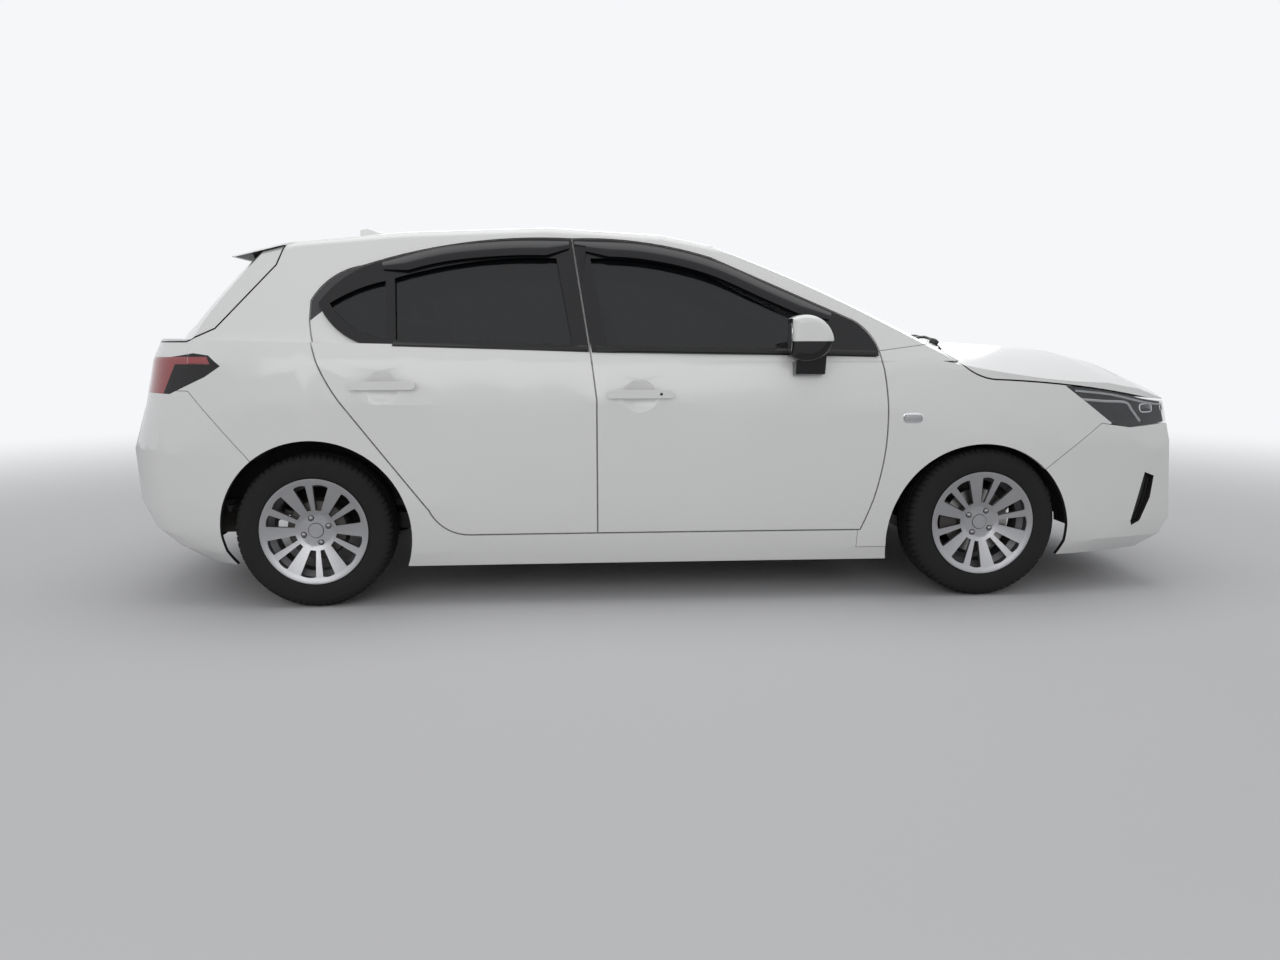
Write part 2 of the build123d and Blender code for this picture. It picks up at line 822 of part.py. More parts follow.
with BuildPart() as tailgate:
    add(tailgate_region(0))
    add(outer_0, mode=Mode.INTERSECT)
    add(cabin_space.part, mode=Mode.SUBTRACT)
    add(along_prism(tail_glass_line, glass_seam, -2300, -1450), mode=Mode.SUBTRACT)
save(tailgate.part, "tailgate")

with BuildPart() as spoiler:
    add(roof_form(-spoiler_stand))
    add(across_prism(spoiler_line.sketch, 0), mode=Mode.INTERSECT)
    add(top_0, mode=Mode.SUBTRACT)
save(spoiler.part, "tailgate_spoiler")

with BuildPart() as tail_glass:
    add(along_prism(tail_glass_line, 0, -2300, -1450))
    add(top_1, mode=Mode.INTERSECT)
    add(top_2, mode=Mode.SUBTRACT)
save(tail_glass.part, "tailgate_glass")


def door_panel(line, window, handle):
    """A whole door with its window cut: outer skin to the full outline, inner box set back from it, pull handle."""
    with BuildPart() as inner:
        add(side_prism(line.sketch, -door_step, 560, full_half))
        add(outer_1, mode=Mode.INTERSECT)
    with BuildPart() as panel_piece:
        add(side_prism(line.sketch, 0, 560, full_half))
        add(outer_0, mode=Mode.INTERSECT)
        add(outer_1, mode=Mode.SUBTRACT)
        add(inner.part)
        with BuildSketch(Plane.XZ):
            with BuildLine():
                Polyline((-1500, 200), (1000, 200), (1000, 954), (-1500, 1011), (-1500, 200))
            make_face()
        extrude(amount=door_inner_y, mode=Mode.SUBTRACT)
        add(top_deep, mode=Mode.SUBTRACT)
        add(side_prism(window.sketch, 0, 500, full_half), mode=Mode.SUBTRACT)
        with Locations((handle[0], -cup_y, handle[1])):
            Sphere(cup_r, mode=Mode.SUBTRACT)
        with BuildSketch(Plane.XZ.offset(handle_in_y)):
            with Locations(handle):
                SlotOverall(handle_length, handle_height)
        extrude(amount=handle_thick)
        with BuildSketch(Plane.XZ.offset(handle_in_y - 35)):
            for step in (-handle_reach, handle_reach):
                with Locations((handle[0] + step, handle[1])):
                    Circle(handle_foot_r)
        extrude(amount=35)
    return panel_piece.part


def door_glass(window):
    """The pane that fills a window."""
    with BuildPart() as pane:
        add(side_prism(window.sketch, -glass_seam, 500, full_half))
        add(top_1, mode=Mode.INTERSECT)
        add(top_2, mode=Mode.SUBTRACT)
    return pane.part


def door_trim(trim_line):
    """Black trim that stands a little proud of the skin round a window."""
    with BuildPart() as trim:
        add(side_prism(trim_line.sketch, 0, 500, full_half))
        add(top_proud, mode=Mode.INTERSECT)
        add(outer_0, mode=Mode.SUBTRACT)
    return trim.part


for name, line, window, trim_line, handle in (
        ("front", front_door_line, front_window_line, front_trim_line, (-105, 812)),
        ("rear", rear_door_line, rear_window_line, rear_trim_line, (-1058, 848))):
    for kind, piece in (("door", door_panel(line, window, handle)), ("door_glass", door_glass(window)),
                        ("door_trim", door_trim(trim_line))):
        save(piece, f"{name}_right_{kind}")
        save(mirror(piece, about=Plane.XZ), f"{name}_left_{kind}")

# Door mirror: rounded housing on a foot that stands on the door's skin
with BuildPart() as door_mirror:
    with BuildSketch(Plane.XZ.offset(mirror_in_y)):
        add(mirror_line.sketch)
    extrude(amount=mirror_out_y - mirror_in_y)
    fillet(door_mirror.faces().sort_by(Axis.Y)[0].edges(), mirror_round)
    with BuildSketch(Plane.YZ.offset(474)):
        with BuildLine():
            Polyline((-830, 874), (-905, 884), (-925, 965), (-890, 965), (-880, 926), (-830, 928), (-830, 874))
        make_face()
    extrude(amount=112)
    add(lower_0, mode=Mode.SUBTRACT)
save(door_mirror.part, "front_right_mirror")
save(mirror(door_mirror.part, about=Plane.XZ), "front_left_mirror")

# Wheels, brakes and running gear. Each right piece is drawn in its place and mirrored to the left
def axle_plane(x, half_track):
    """Plane through a right wheel's centre: local X outwards along its axle, local Y up."""
    return Plane(origin=(x, -half_track, tyre_radius), x_dir=(0, -1, 0), z_dir=(-1, 0, 0))


def turned(profile, x, half_track):
    """A closed profile of (distance outwards, radius) points, turned round a right wheel's axle."""
    with BuildPart() as ring:
        with BuildSketch(axle_plane(x, half_track)):
            with BuildLine():
                Polyline(*profile, close=True)
            make_face()
        revolve(axis=Axis((x, 0, tyre_radius), (0, 1, 0)))
    return ring.part


def tyre(x, half_track):
    """Low road tyre with round walls and crown, its beads on the rim's seats."""
    with BuildPart() as ring:
        with BuildSketch(axle_plane(x, half_track)):
            with BuildLine():
                Line((0, bead_r), (bead_half, bead_r))
                Line((bead_half, bead_r), (flange_foot, flange_r))
                wall = ThreePointArc((flange_foot, flange_r), (tyre_width / 2, wall_r), (shoulder_half, shoulder_r))
                TangentArc(wall @ 1, (tread_half, tyre_radius), tangent=wall % 1)
                Line((tread_half, tyre_radius), (0, tyre_radius))
                mirror(about=Plane.YZ)
            make_face()
        revolve(axis=Axis((x, 0, tyre_radius), (0, 1, 0)))
    return ring.part


def spoke_point(angle, reach, aside):
    """A point beside a spoke's middle line, seen from outside the wheel."""
    turn = radians(angle)
    return (reach * cos(turn) - aside * sin(turn), reach * sin(turn) + aside * cos(turn))


def rim(x, half_track, phase):
    """Cast rim: stepped barrel, dished face, six wide and six narrow spokes, nut pockets and a blank cap."""
    with BuildPart() as wheel:
        with BuildSketch(axle_plane(x, half_track)):
            with BuildLine():
                Polyline((-rim_half, flange_r), (-flange_foot, flange_r), (-bead_half, bead_r), (-well_foot, bead_r),
                         (-well_half, well_r), (well_half, well_r), (well_foot, bead_r), (bead_half, bead_r),
                         (flange_foot, flange_r), (rim_half, flange_r), (rim_half, flange_r - rim_wall),
                         (face_edge, bead_r - rim_wall))
                ThreePointArc((face_edge, bead_r - rim_wall), (face_mid, face_mid_r), (hub_front, hub_r))
                Polyline((hub_front, hub_r), (hub_front, cap_r), (cap_front, cap_r - cap_round), (cap_front, 0),
                         (hub_back, 0), (hub_back, hub_r), (face_back, bead_r - rim_wall),
                         (well_foot, bead_r - rim_wall), (well_half, well_r - rim_wall), (-well_half, well_r - rim_wall),
                         (-well_foot, bead_r - rim_wall), (-rim_half, bead_r - rim_wall), (-rim_half, flange_r))
            make_face()
        revolve(axis=Axis((x, 0, tyre_radius), (0, 1, 0)))
        with BuildSketch(Plane(origin=(x, -half_track - well_foot, tyre_radius), x_dir=(1, 0, 0), z_dir=(0, -1, 0))):
            for start, first, second in ((phase, wide_spoke, narrow_spoke),
                                         (phase + spoke_step, narrow_spoke, wide_spoke)):
                span = spoke_step if first is wide_spoke else 360 / spoke_pairs - spoke_step
                for turn in range(spoke_pairs):
                    near = start + turn * 360 / spoke_pairs
                    far = near + span
                    with BuildLine():
                        Line(spoke_point(near, window_in_r, first[0]), spoke_point(near, window_out_r, first[1]))
                        ThreePointArc(spoke_point(near, window_out_r, first[1]),
                                      spoke_point((near + far) / 2, window_out_r + window_bow, 0),
                                      spoke_point(far, window_out_r, -second[1]))
                        Polyline(spoke_point(far, window_out_r, -second[1]), spoke_point(far, window_in_r, -second[0]),
                                 spoke_point(near, window_in_r, first[0]))
                    make_face()
        extrude(amount=window_depth, mode=Mode.SUBTRACT)
        with BuildSketch(Plane(origin=(x, -half_track - hub_front, tyre_radius), x_dir=(1, 0, 0), z_dir=(0, -1, 0))):
            with PolarLocations(nut_circle_r, nut_count, start_angle=phase + nut_offset):
                Circle(nut_hole_r)
        extrude(amount=-nut_hole_depth, mode=Mode.SUBTRACT)
    return wheel.part


for end, x, half_track, phase in (("front", front_axle_x, front_track / 2, front_phase),
                                  ("rear", rear_axle_x, rear_track / 2, rear_phase)):
    hub_profile = FRONT_DISC if end == "front" else REAR_DRUM
    brake = "disc" if end == "front" else "drum"
    for kind, piece in (("tyre", tyre(x, half_track)), ("rim", rim(x, half_track, phase)),
                        (brake, turned(hub_profile, x, half_track))):
        save(piece, f"{end}_right_{kind}")
        save(mirror(piece, about=Plane.XZ), f"{end}_left_{kind}")

# Front knuckle: hub carrier, ball joint leg, strut with its spring seat and boot, and the brake caliper
with BuildPart() as knuckle:
    add(turned(KNUCKLE_HUB, front_axle_x, front_track / 2))
    with BuildSketch(Plane.YZ.offset(front_axle_x)):
        with BuildLine():
            Polyline((-706, 240), (-706, 196), (-698, 180), (-676, 180), (-664, 196), (-650, 250), (-636, 330),
                     (-562, 400), (-562, 476), (-622, 476), (-626, 400), (-672, 352), (-700, 330), (-706, 240))
        make_face()
    extrude(amount=knuckle_half, both=True)
    with BuildSketch(Plane(origin=strut_foot, x_dir=(1, 0, 0), z_dir=strut_way)):
        Circle(strut_r)
    extrude(amount=strut_length)
    with BuildSketch(Plane(origin=strut_foot, x_dir=(1, 0, 0), z_dir=strut_way).offset(spring_low)):
        Circle(spring_seat_r)
    extrude(amount=seat_thick)
    with BuildSketch(Plane(origin=strut_foot, x_dir=(1, 0, 0), z_dir=strut_way).offset(spring_low)):
        Circle(boot_r)
    extrude(amount=strut_length - spring_low)
    with BuildSketch(Plane.XZ.offset(caliper_in_y)):
        with BuildLine():
            CenterArc((front_axle_x, tyre_radius), caliper_out_r, caliper_start, caliper_span)
            CenterArc((front_axle_x, tyre_radius), caliper_in_r, caliper_start, caliper_span)
            Line(around_front(caliper_start, caliper_in_r), around_front(caliper_start, caliper_out_r))
            Line(around_front(caliper_start + caliper_span, caliper_in_r),
                 around_front(caliper_start + caliper_span, caliper_out_r))
        make_face()
    extrude(amount=caliper_out_y - caliper_in_y)
    with BuildSketch(Plane.XZ.offset(disc_in_y - disc_clear)):
        with Locations((front_axle_x, tyre_radius)):
            Circle(disc_r + disc_clear)
            Circle(caliper_in_r - disc_clear, mode=Mode.SUBTRACT)
    extrude(amount=disc_thick + 2 * disc_clear, mode=Mode.SUBTRACT)
    with BuildSketch(Plane.XZ.offset(caliper_in_y)):
        with BuildLine():
            Polyline(around_front(caliper_start + 8, 40), around_front(caliper_start + 8, caliper_in_r + 8),
                     around_front(caliper_start + caliper_span - 8, caliper_in_r + 8),
                     around_front(caliper_start + caliper_span - 8, 40), close=True)
        make_face()
    extrude(amount=bracket_thick)
    with Locations((front_axle_x, -ball_y, ball_z)):
        Sphere(ball_r)
    with Locations((front_axle_x, -pivot_y, tyre_radius)):
        Sphere(socket_r, mode=Mode.SUBTRACT)
    with BuildSketch(Plane.XZ.offset(pivot_y)):
        with Locations((front_axle_x, tyre_radius)):
            Circle(socket_r)
    extrude(amount=-socket_reach, mode=Mode.SUBTRACT)
save(knuckle.part, "right_knuckle")
save(mirror(knuckle.part, about=Plane.XZ), "left_knuckle")

with BuildPart() as drive_shaft:
    with Locations((front_axle_x, -pivot_y, tyre_radius)):
        Sphere(socket_r - joint_clear)
    with BuildSketch(Plane.XZ.offset(engine_half)):
        with Locations((front_axle_x, tyre_radius)):
            Circle(shaft_r)
    extrude(amount=pivot_y - engine_half)
    with BuildSketch(Plane.XZ.offset(engine_half)):
        with Locations((front_axle_x, tyre_radius)):
            Circle(inner_joint_r)
    extrude(amount=inner_joint_length)
save(both_sides(drive_shaft.part), "drive_shafts")

# Front frame: longitudinal rails, aprons with strut towers, radiator carrier and engine mounts
with BuildPart() as front_frame:
    with BuildSketch(Plane.XZ.offset(rail_in_y)):
        with BuildLine():
            Polyline((911.7, 350), (954.5, 470), (2050, 470), (2050, 380), (1120, 380), (1060, 350), (911.7, 350))
        make_face()
    extrude(amount=rail_width)
    with BuildSketch(Plane.XZ.offset(rail_in_y + rail_width)):
        with BuildLine():
            Polyline((987, 400), (987, 858), (1950, 760), (1950, 400), (987, 400))
        make_face()
    extrude(amount=apron_thick)
    with BuildSketch(Plane.XY.offset(tower_z)):
        with BuildLine():
            Polyline((1140, -apron_y), (1150, -690), (1350, -690), (1360, -apron_y), (1140, -apron_y))
        make_face()
    extrude(amount=tower_thick)
    with BuildSketch(Plane.XZ.offset(apron_y)):
        with BuildLine():
            Polyline((1140, 800), (1140, tower_z + tower_thick), (1360, tower_z + tower_thick), (1360, 780), (1140, 800))
        make_face()
    extrude(amount=-apron_thick)
    with BuildSketch(Plane.XZ.offset(engine_half)):
        with Locations((1430, 440)):
            Rectangle(70, 40)
    extrude(amount=rail_in_y - engine_half)
    with BuildSketch(Plane.XY.offset(tower_z)):
        with Locations(hood_stop):
            Circle(hood_stop_r)
    extrude(amount=hood_stop_top - tower_z)
    mirror(about=Plane.XZ)
    with BuildSketch(Plane.YZ.offset(1955)):
        with Locations((0, carrier_mid_z)):
            RectangleRounded(2 * carrier_half, 520, 30)
            Rectangle(2 * rail_in_y - 10, 420, mode=Mode.SUBTRACT)
    extrude(amount=carrier_thick)
save(front_frame.part, "front_frame")

with BuildPart() as subframe:
    with BuildSketch(Plane.XY.offset(subframe_z)) as plate:
        with BuildLine():
            Polyline((1110, 0), (1110, 330), (1140, 450), (1345, 450), (1370, 330), (1370, 0))
            mirror(about=Plane.XZ)
        make_face()
        with Locations((1240, 0)):
            SlotOverall(360, 110, rotation=90, mode=Mode.SUBTRACT)
    extrude(amount=subframe_thick)
    for side in (-1, 1):
        with BuildSketch(Plane.XY.offset(arm_z)):
            with BuildLine():
                Polyline((1220, side * 600), (1220, side * 706), (1276, side * 706), (1276, side * 600),
                         (1325, side * 440), (1300, side * 400), (1160, side * 400), (1150, side * 450),
                         (1220, side * 600))
            make_face()
        extrude(amount=arm_thick)
        with Locations((front_axle_x, side * ball_y, ball_z)):
            Sphere(ball_r + glass_seam, mode=Mode.SUBTRACT)
        with BuildSketch(Plane.XY.offset(subframe_z + subframe_thick)):
            with Locations((1160, side * 425), (1320, side * 425)):
                Rectangle(50, 44)
        extrude(amount=rail_low_z - subframe_z - subframe_thick)
save(subframe.part, "front_subframe")

# Wheel arch liners in front, from the sill's end round to the bumper
with BuildPart() as liner:
    with BuildSketch(Plane.XZ.offset(liner_in_y)):
        with BuildLine():
            CenterArc(liner_centre, liner_r, liner_start, liner_span)
            CenterArc(liner_centre, liner_r + liner_thick, liner_start, liner_span)
            Line(around(liner_centre, liner_r, liner_start), around(liner_centre, liner_r + liner_thick, liner_start))
            Line(around(liner_centre, liner_r, liner_start + liner_span),
                 around(liner_centre, liner_r + liner_thick, liner_start + liner_span))
        make_face()
    extrude(amount=liner_out_y - liner_in_y)
    with BuildSketch(Plane.XZ.offset(apron_y)):
        with Locations((1430, 601)):
            Rectangle(40, 6)
    extrude(amount=liner_in_y - apron_y + 10)
save(both_sides(liner.part), "front_arch_liners")

# Engine and gearbox as one plain block
with BuildPart() as engine:
    with BuildSketch(Plane.XZ.offset(-engine_half)):
        with BuildLine():
            Polyline((1140, 300), (1110, 420), (1140, 780), (1500, 820), (1640, 760), (1700, 420), (1560, 236), (1180, 236),
                     (1140, 300))
        make_face()
    extrude(amount=2 * engine_half)
save(engine.part, "engine_block")

# Floor: one folded sheet from the firewall to the tail, with the front wheelhouses' inner walls
with BuildPart() as floor_pan:
    with BuildSketch(Plane.XZ.offset(-floor_half)):
        with BuildLine():
            Polyline((960, 860), (930, 480), (840, 225), (-740, 225), (-780, 380), (-2020, 380), (-2020, 355), (-798, 355),
                     (-758, 200), (858, 200), (955, 472), (985, 860), (960, 860))
        make_face()
    extrude(amount=2 * floor_half)
    for side in (-1, 1):
        with BuildSketch(Plane.XZ.offset(-side * rear_inner_y)):
            with Locations(rear_arch):
                Circle(rear_arch_r)
        extrude(amount=-side * 200, mode=Mode.SUBTRACT)
        with BuildSketch(Plane.XY.offset(floor_low_z)):
            with Locations((-1900, side * (floor_tail_half + 100))):
                Rectangle(400, 200)
        extrude(amount=50, mode=Mode.SUBTRACT)
    with BuildPart(mode=Mode.PRIVATE) as wheelhouse:
        for near in (-wheelhouse_in_y, roof_half):
            with BuildSketch(Plane.XZ.offset(near)):
                with Locations(front_arch):
                    Circle(front_arch_r + 60)
            extrude(amount=wheelhouse_in_y - roof_half)
        with BuildSketch(Plane.XZ.offset(-floor_half)):
            with BuildLine():
                Polyline((960, 860), (930, 480), (840, 225), (700, 225), (700, 860), (960, 860))
            make_face()
        extrude(amount=2 * floor_half, mode=Mode.INTERSECT)
    add(wheelhouse.part)
save(floor_pan.part, "floor_pan")

# Rear torsion beam axle: open beam, trailing arms, hubs with brake plates, springs and dampers
with BuildPart() as rear_axle:
    with BuildSketch(Plane.XZ.offset(-beam_half)):
        with BuildLine():
            Polyline((-1190, 250), (-1175, 318), (-1115, 318), (-1100, 250), (-1108, 250), (-1121, 310), (-1169, 310),
                     (-1182, 250), (-1190, 250))
        make_face()
    extrude(amount=2 * beam_half)
    for side in (-1, 1):
        with BuildSketch(Plane.XZ.offset(-side * arm_in_y)):
            with BuildLine():
                Polyline((-900, 290), (-925, 325), (-980, 325), (-1150, 335), (-1300, 335), (-1400, 300), (-1400, 255),
                         (-1300, 240), (-1150, 262), (-980, 265), (-925, 265), (-900, 290))
            make_face()
        extrude(amount=-side * (arm_out_y - arm_in_y))
        with BuildSketch(Plane.XY.offset(spring_z)):
            with Locations((-1250, side * 480)):
                RectangleRounded(180, 170, 40)
        extrude(amount=seat_thick)
        with BuildSketch(Plane.XY.offset(spring_z + seat_thick)):
            with Locations((-1270, side * 480)):
                Circle(spring_r)
        extrude(amount=floor_low_z - spring_z - seat_thick)
        with BuildSketch(Plane(origin=(-1385, side * 575, 270), x_dir=(0, 1, 0), z_dir=(-1, 0, 2))):
            Circle(damper_r)
        extrude(amount=damper_length)
    add(turned(REAR_HUB, rear_axle_x, rear_track / 2))
    add(mirror(turned(REAR_HUB, rear_axle_x, rear_track / 2), about=Plane.XZ))
save(rear_axle.part, "rear_axle")

with BuildPart() as fuel_tank:
    with BuildSketch(Plane.XY.offset(tank_z)):
        with Locations((-940, 210)):
            RectangleRounded(250, 460, 50)
    extrude(amount=floor_low_z - tank_z)
save(fuel_tank.part, "fuel_tank")

with BuildPart() as exhaust:
    with BuildLine() as pipe_line:
        FilletPolyline((1060, -100, 172), (-810, -100, 172), (-1010, -130, 216), (-1300, -130, 216), (-1700, -130, 270),
                       radius=60)
    with BuildSketch(Plane(origin=pipe_line.line @ 0, z_dir=pipe_line.line % 0)):
        Circle(pipe_r)
    sweep()
    with BuildSketch(Plane.XZ.offset(-60)):
        with Locations((-1800, 275)):
            RectangleRounded(300, 130, 55)
    extrude(amount=420)
    with BuildSketch(Plane.YZ.offset(-1940)):
        with Locations((-330, 262)):
            Circle(tail_pipe_r)
    extrude(amount=-tail_pipe_length)
    with BuildSketch(Plane.XY.offset(172)):
        with Locations((600, -100), (-300, -100)):
            Circle(hanger_r)
    extrude(amount=200 - 172)
    with BuildSketch(Plane.XY.offset(300)):
        with Locations((-1800, 0), (-1800, -320)):
            Circle(hanger_r)
    extrude(amount=floor_low_z - 300)
save(exhaust.part, "exhaust")

# Cabin
with BuildPart() as dashboard:
    with BuildSketch(Plane.XZ.offset(-cabin_half)):
        with BuildLine():
            Polyline((925, 610), (942, 840), (940, 885), (900, 925))
            ThreePointArc((900, 925), (790, 948), (690, 912))
            Polyline((690, 912), (640, 870), (650, 760), (715, 690), (760, 560), (870, 530), (925, 610))
        make_face()
    extrude(amount=2 * cabin_half)
    with BuildSketch(Plane.XY.offset(console_z)):
        with Locations((500, 0)):
            RectangleRounded(560, 200, 40)
    extrude(amount=console_height)
    with BuildSketch(Plane(origin=wheel_hub, x_dir=(0, 1, 0), z_dir=column_way)):
        Circle(column_r)
    extrude(amount=column_length)
save(dashboard.part, "dashboard")

with BuildPart() as steering_wheel:
    with BuildSketch(Plane(origin=wheel_centre, x_dir=(0, 1, 0), z_dir=column_way)) as spokes:
        Circle(wheel_ring_r)
        Circle(wheel_ring_r - grip_r, mode=Mode.SUBTRACT)
        with Locations((0, -10)):
            Rectangle(2 * wheel_ring_r, 44)
        with Locations((0, -wheel_ring_r / 2)):
            Rectangle(50, wheel_ring_r)
        Circle(boss_r)
    extrude(amount=spoke_thick, both=True)
    with BuildSketch(Plane(origin=wheel_centre, x_dir=(0, 1, 0), z_dir=column_way)):
        Circle(column_r)
    extrude(amount=hub_reach)
    with BuildSketch(Plane(origin=wheel_centre, x_dir=(0, 1, 0), z_dir=(column_way[2] * -1, 0, column_way[0]))):
        with Locations((wheel_ring_r, 0)):
            Circle(grip_r)
    revolve(axis=Axis(wheel_centre, column_way))
save(steering_wheel.part, "steering_wheel")

with BuildPart() as front_seat:
    with BuildSketch(Plane.XZ.offset(seat_in_y)):
        with BuildLine():
            Polyline((-170, 225), (330, 225), (360, 380), (390, 470))
            ThreePointArc((390, 470), (330, 560), (60, 540))
            Polyline((60, 540), (-60, 560), (-210, 1120))
            ThreePointArc((-210, 1120), (-270, 1170), (-330, 1110))
            Polyline((-330, 1110), (-260, 700), (-200, 450), (-170, 225))
        make_face()
    extrude(amount=seat_width)
    with BuildSketch(Plane.XZ.offset(seat_in_y + 110)):
        with Locations((-305, 1235)):
            RectangleRounded(110, 180, 45)
        with Locations((-290, 1130)):
            Rectangle(30, 90)
    extrude(amount=seat_width - 220)
save(both_sides(front_seat.part), "front_seats")

with BuildPart() as rear_seat:
    with BuildSketch(Plane.XZ.offset(-rear_seat_half)):
        with BuildLine():
            Polyline((-739.5, 225.3), (-520, 225.3), (-500, 480))
            ThreePointArc((-500, 480), (-560, 560), (-900, 530))
            Polyline((-900, 530), (-1010, 1080))
            ThreePointArc((-1010, 1080), (-1060, 1110), (-1110, 1070))
            Polyline((-1110, 1070), (-1040, 700), (-960, 420), (-960, 380.3), (-779, 380.3), (-739.5, 225.3))
        make_face()
    extrude(amount=2 * rear_seat_half)
    for side in (-1, 1):
        with BuildSketch(Plane.XZ.offset(side * 330 - 110)):
            with Locations((-1080, 1170)):
                RectangleRounded(90, 140, 35)
        extrude(amount=220)
save(rear_seat.part, "rear_seat")
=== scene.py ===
"""White five-door hatchback: its looks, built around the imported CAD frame.

Metres. +X is the car's nose, +Y its left, +Z up, and the ground is at Z = 0.
"""
import json
from math import copysign, cos, hypot, pi, radians, sin

import bmesh
import bpy
from mathutils import Matrix, Vector
from mathutils.bvhtree import BVHTree


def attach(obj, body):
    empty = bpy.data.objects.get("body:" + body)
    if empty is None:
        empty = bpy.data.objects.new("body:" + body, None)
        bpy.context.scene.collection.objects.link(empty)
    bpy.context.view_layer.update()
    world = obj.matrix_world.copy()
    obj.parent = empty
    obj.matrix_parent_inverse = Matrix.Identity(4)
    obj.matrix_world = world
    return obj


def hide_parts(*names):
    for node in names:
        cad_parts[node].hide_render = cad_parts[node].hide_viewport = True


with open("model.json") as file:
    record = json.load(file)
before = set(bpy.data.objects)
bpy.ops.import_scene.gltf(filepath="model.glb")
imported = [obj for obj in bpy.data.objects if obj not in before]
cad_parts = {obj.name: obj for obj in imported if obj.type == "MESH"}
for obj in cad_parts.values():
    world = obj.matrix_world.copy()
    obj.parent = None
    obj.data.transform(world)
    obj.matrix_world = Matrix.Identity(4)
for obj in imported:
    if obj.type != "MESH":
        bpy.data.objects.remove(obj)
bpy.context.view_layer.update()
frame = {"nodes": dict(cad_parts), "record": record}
bodies = frame["record"]["behaviour"]["bodies"]
body_of_node = {node: body for body, nodes in bodies.items() for node in nodes}

# Camera
# A phone held at chest height, a few metres off the car's right side, level and looking slightly down.
photo_width, focal_length = 1280, 961
camera_place = Vector((-0.332, -4.470, 1.004))
camera_turn, camera_dip, camera_roll = radians(3.581), radians(8.169), radians(-0.12)
look = Vector((sin(camera_turn) * cos(camera_dip), cos(camera_turn) * cos(camera_dip), -sin(camera_dip)))
level = Vector((cos(camera_turn), -sin(camera_turn), 0))
upright = level.cross(look)
right = cos(camera_roll) * level + sin(camera_roll) * upright
above = -sin(camera_roll) * level + cos(camera_roll) * upright
camera_data = bpy.data.cameras.new("camera")
camera_data.sensor_width = 36
camera_data.lens = focal_length / photo_width * camera_data.sensor_width
camera = bpy.data.objects.new("camera", camera_data)
camera.matrix_world = Matrix((right, above, -look)).transposed().to_4x4()
camera.matrix_world.translation = camera_place
bpy.context.collection.objects.link(camera)
bpy.context.scene.camera = camera
bpy.context.scene.view_settings.view_transform = "Standard"


# Studio
# A pale seamless floor under a soft even sky, with a broad lamp each side and one overhead. To the camera
# alone, the floor fades into the sky's white a few metres out.
def add_node(tree, kind, values=(), **settings):
    """A new node with these settings and these values in its sockets."""
    node = tree.nodes.new(kind)
    for name, value in settings.items():
        setattr(node, name, value)
    for socket, value in dict(values).items():
        node.inputs[socket].default_value = value
    return node


def join(tree, *links):
    """Link nodes, each link given as a node, its output, another node and its input."""
    for source, output, target, socket in links:
        tree.links.new(source.outputs[output], target.inputs[socket])


backdrop_white = (0.92, 0.93, 0.95, 1)
world = bpy.data.worlds.new("studio")
bpy.context.scene.world = world
world.use_nodes = True
sky = world.node_tree
rays = add_node(sky, "ShaderNodeLightPath")
clear_rays = add_node(sky, "ShaderNodeMath", operation="MAXIMUM")
white_rays = add_node(sky, "ShaderNodeMath", operation="MAXIMUM")
sky_strength = add_node(sky, "ShaderNodeMapRange", {"To Min": 0.42, "To Max": 1.0})
sky.nodes["Background"].inputs["Color"].default_value = backdrop_white
join(sky, (rays, "Is Camera Ray", clear_rays, 0), (rays, "Is Transmission Ray", clear_rays, 1),
     (clear_rays, 0, white_rays, 0), (rays, "Is Glossy Ray", white_rays, 1),
     (white_rays, 0, sky_strength, "Value"), (sky_strength, "Result", sky.nodes["Background"], "Strength"))


def soft_lamp(name, place, aim, size, power):
    """A broad area lamp at this place, turned to this aim."""
    data = bpy.data.lights.new(name, "AREA")
    data.shape = "RECTANGLE"
    data.size, data.size_y = size
    data.energy = power
    lamp = bpy.data.objects.new(name, data)
    lamp.matrix_world = (Vector(aim) - Vector(place)).to_track_quat("-Z", "Y").to_matrix().to_4x4()
    lamp.matrix_world.translation = Vector(place)
    bpy.context.collection.objects.link(lamp)


soft_lamp("overhead lamp", (0, 0, 5.5), (0, 0, 0), (7, 4), 120)
soft_lamp("near lamp", (-1.5, -7.5, 3.2), (0, 0, 0.6), (8, 3), 120)
soft_lamp("far lamp", (1.0, 7.5, 3.0), (0, 0, 0.6), (8, 3), 90)

floor_half, fade_start, fade_end = 40, 2.8, 9.0
floor_mesh = bpy.data.meshes.new("floor")
floor_mesh.from_pydata([(x * floor_half, y * floor_half, 0) for x, y in ((-1, -1), (1, -1), (1, 1), (-1, 1))],
                       [], [(0, 1, 2, 3)])
floor = bpy.data.objects.new("floor", floor_mesh)
bpy.context.collection.objects.link(floor)
floor_finish = bpy.data.materials.new("pale floor")
floor_finish.use_nodes = True
floor_tree = floor_finish.node_tree
floor_paint = floor_tree.nodes["Principled BSDF"]
floor_paint.inputs["Base Color"].default_value = (0.62, 0.62, 0.63, 1)
floor_paint.inputs["Roughness"].default_value = 0.85
floor_place = add_node(floor_tree, "ShaderNodeTexCoord")
floor_reach = add_node(floor_tree, "ShaderNodeVectorMath", operation="LENGTH")
floor_fade = add_node(floor_tree, "ShaderNodeMapRange", {"From Min": fade_start, "From Max": fade_end},
                      interpolation_type="SMOOTHSTEP")
floor_rays = add_node(floor_tree, "ShaderNodeLightPath")
floor_share = add_node(floor_tree, "ShaderNodeMath", operation="MULTIPLY")
floor_far = add_node(floor_tree, "ShaderNodeEmission", {"Color": backdrop_white})
floor_mix = add_node(floor_tree, "ShaderNodeMixShader")
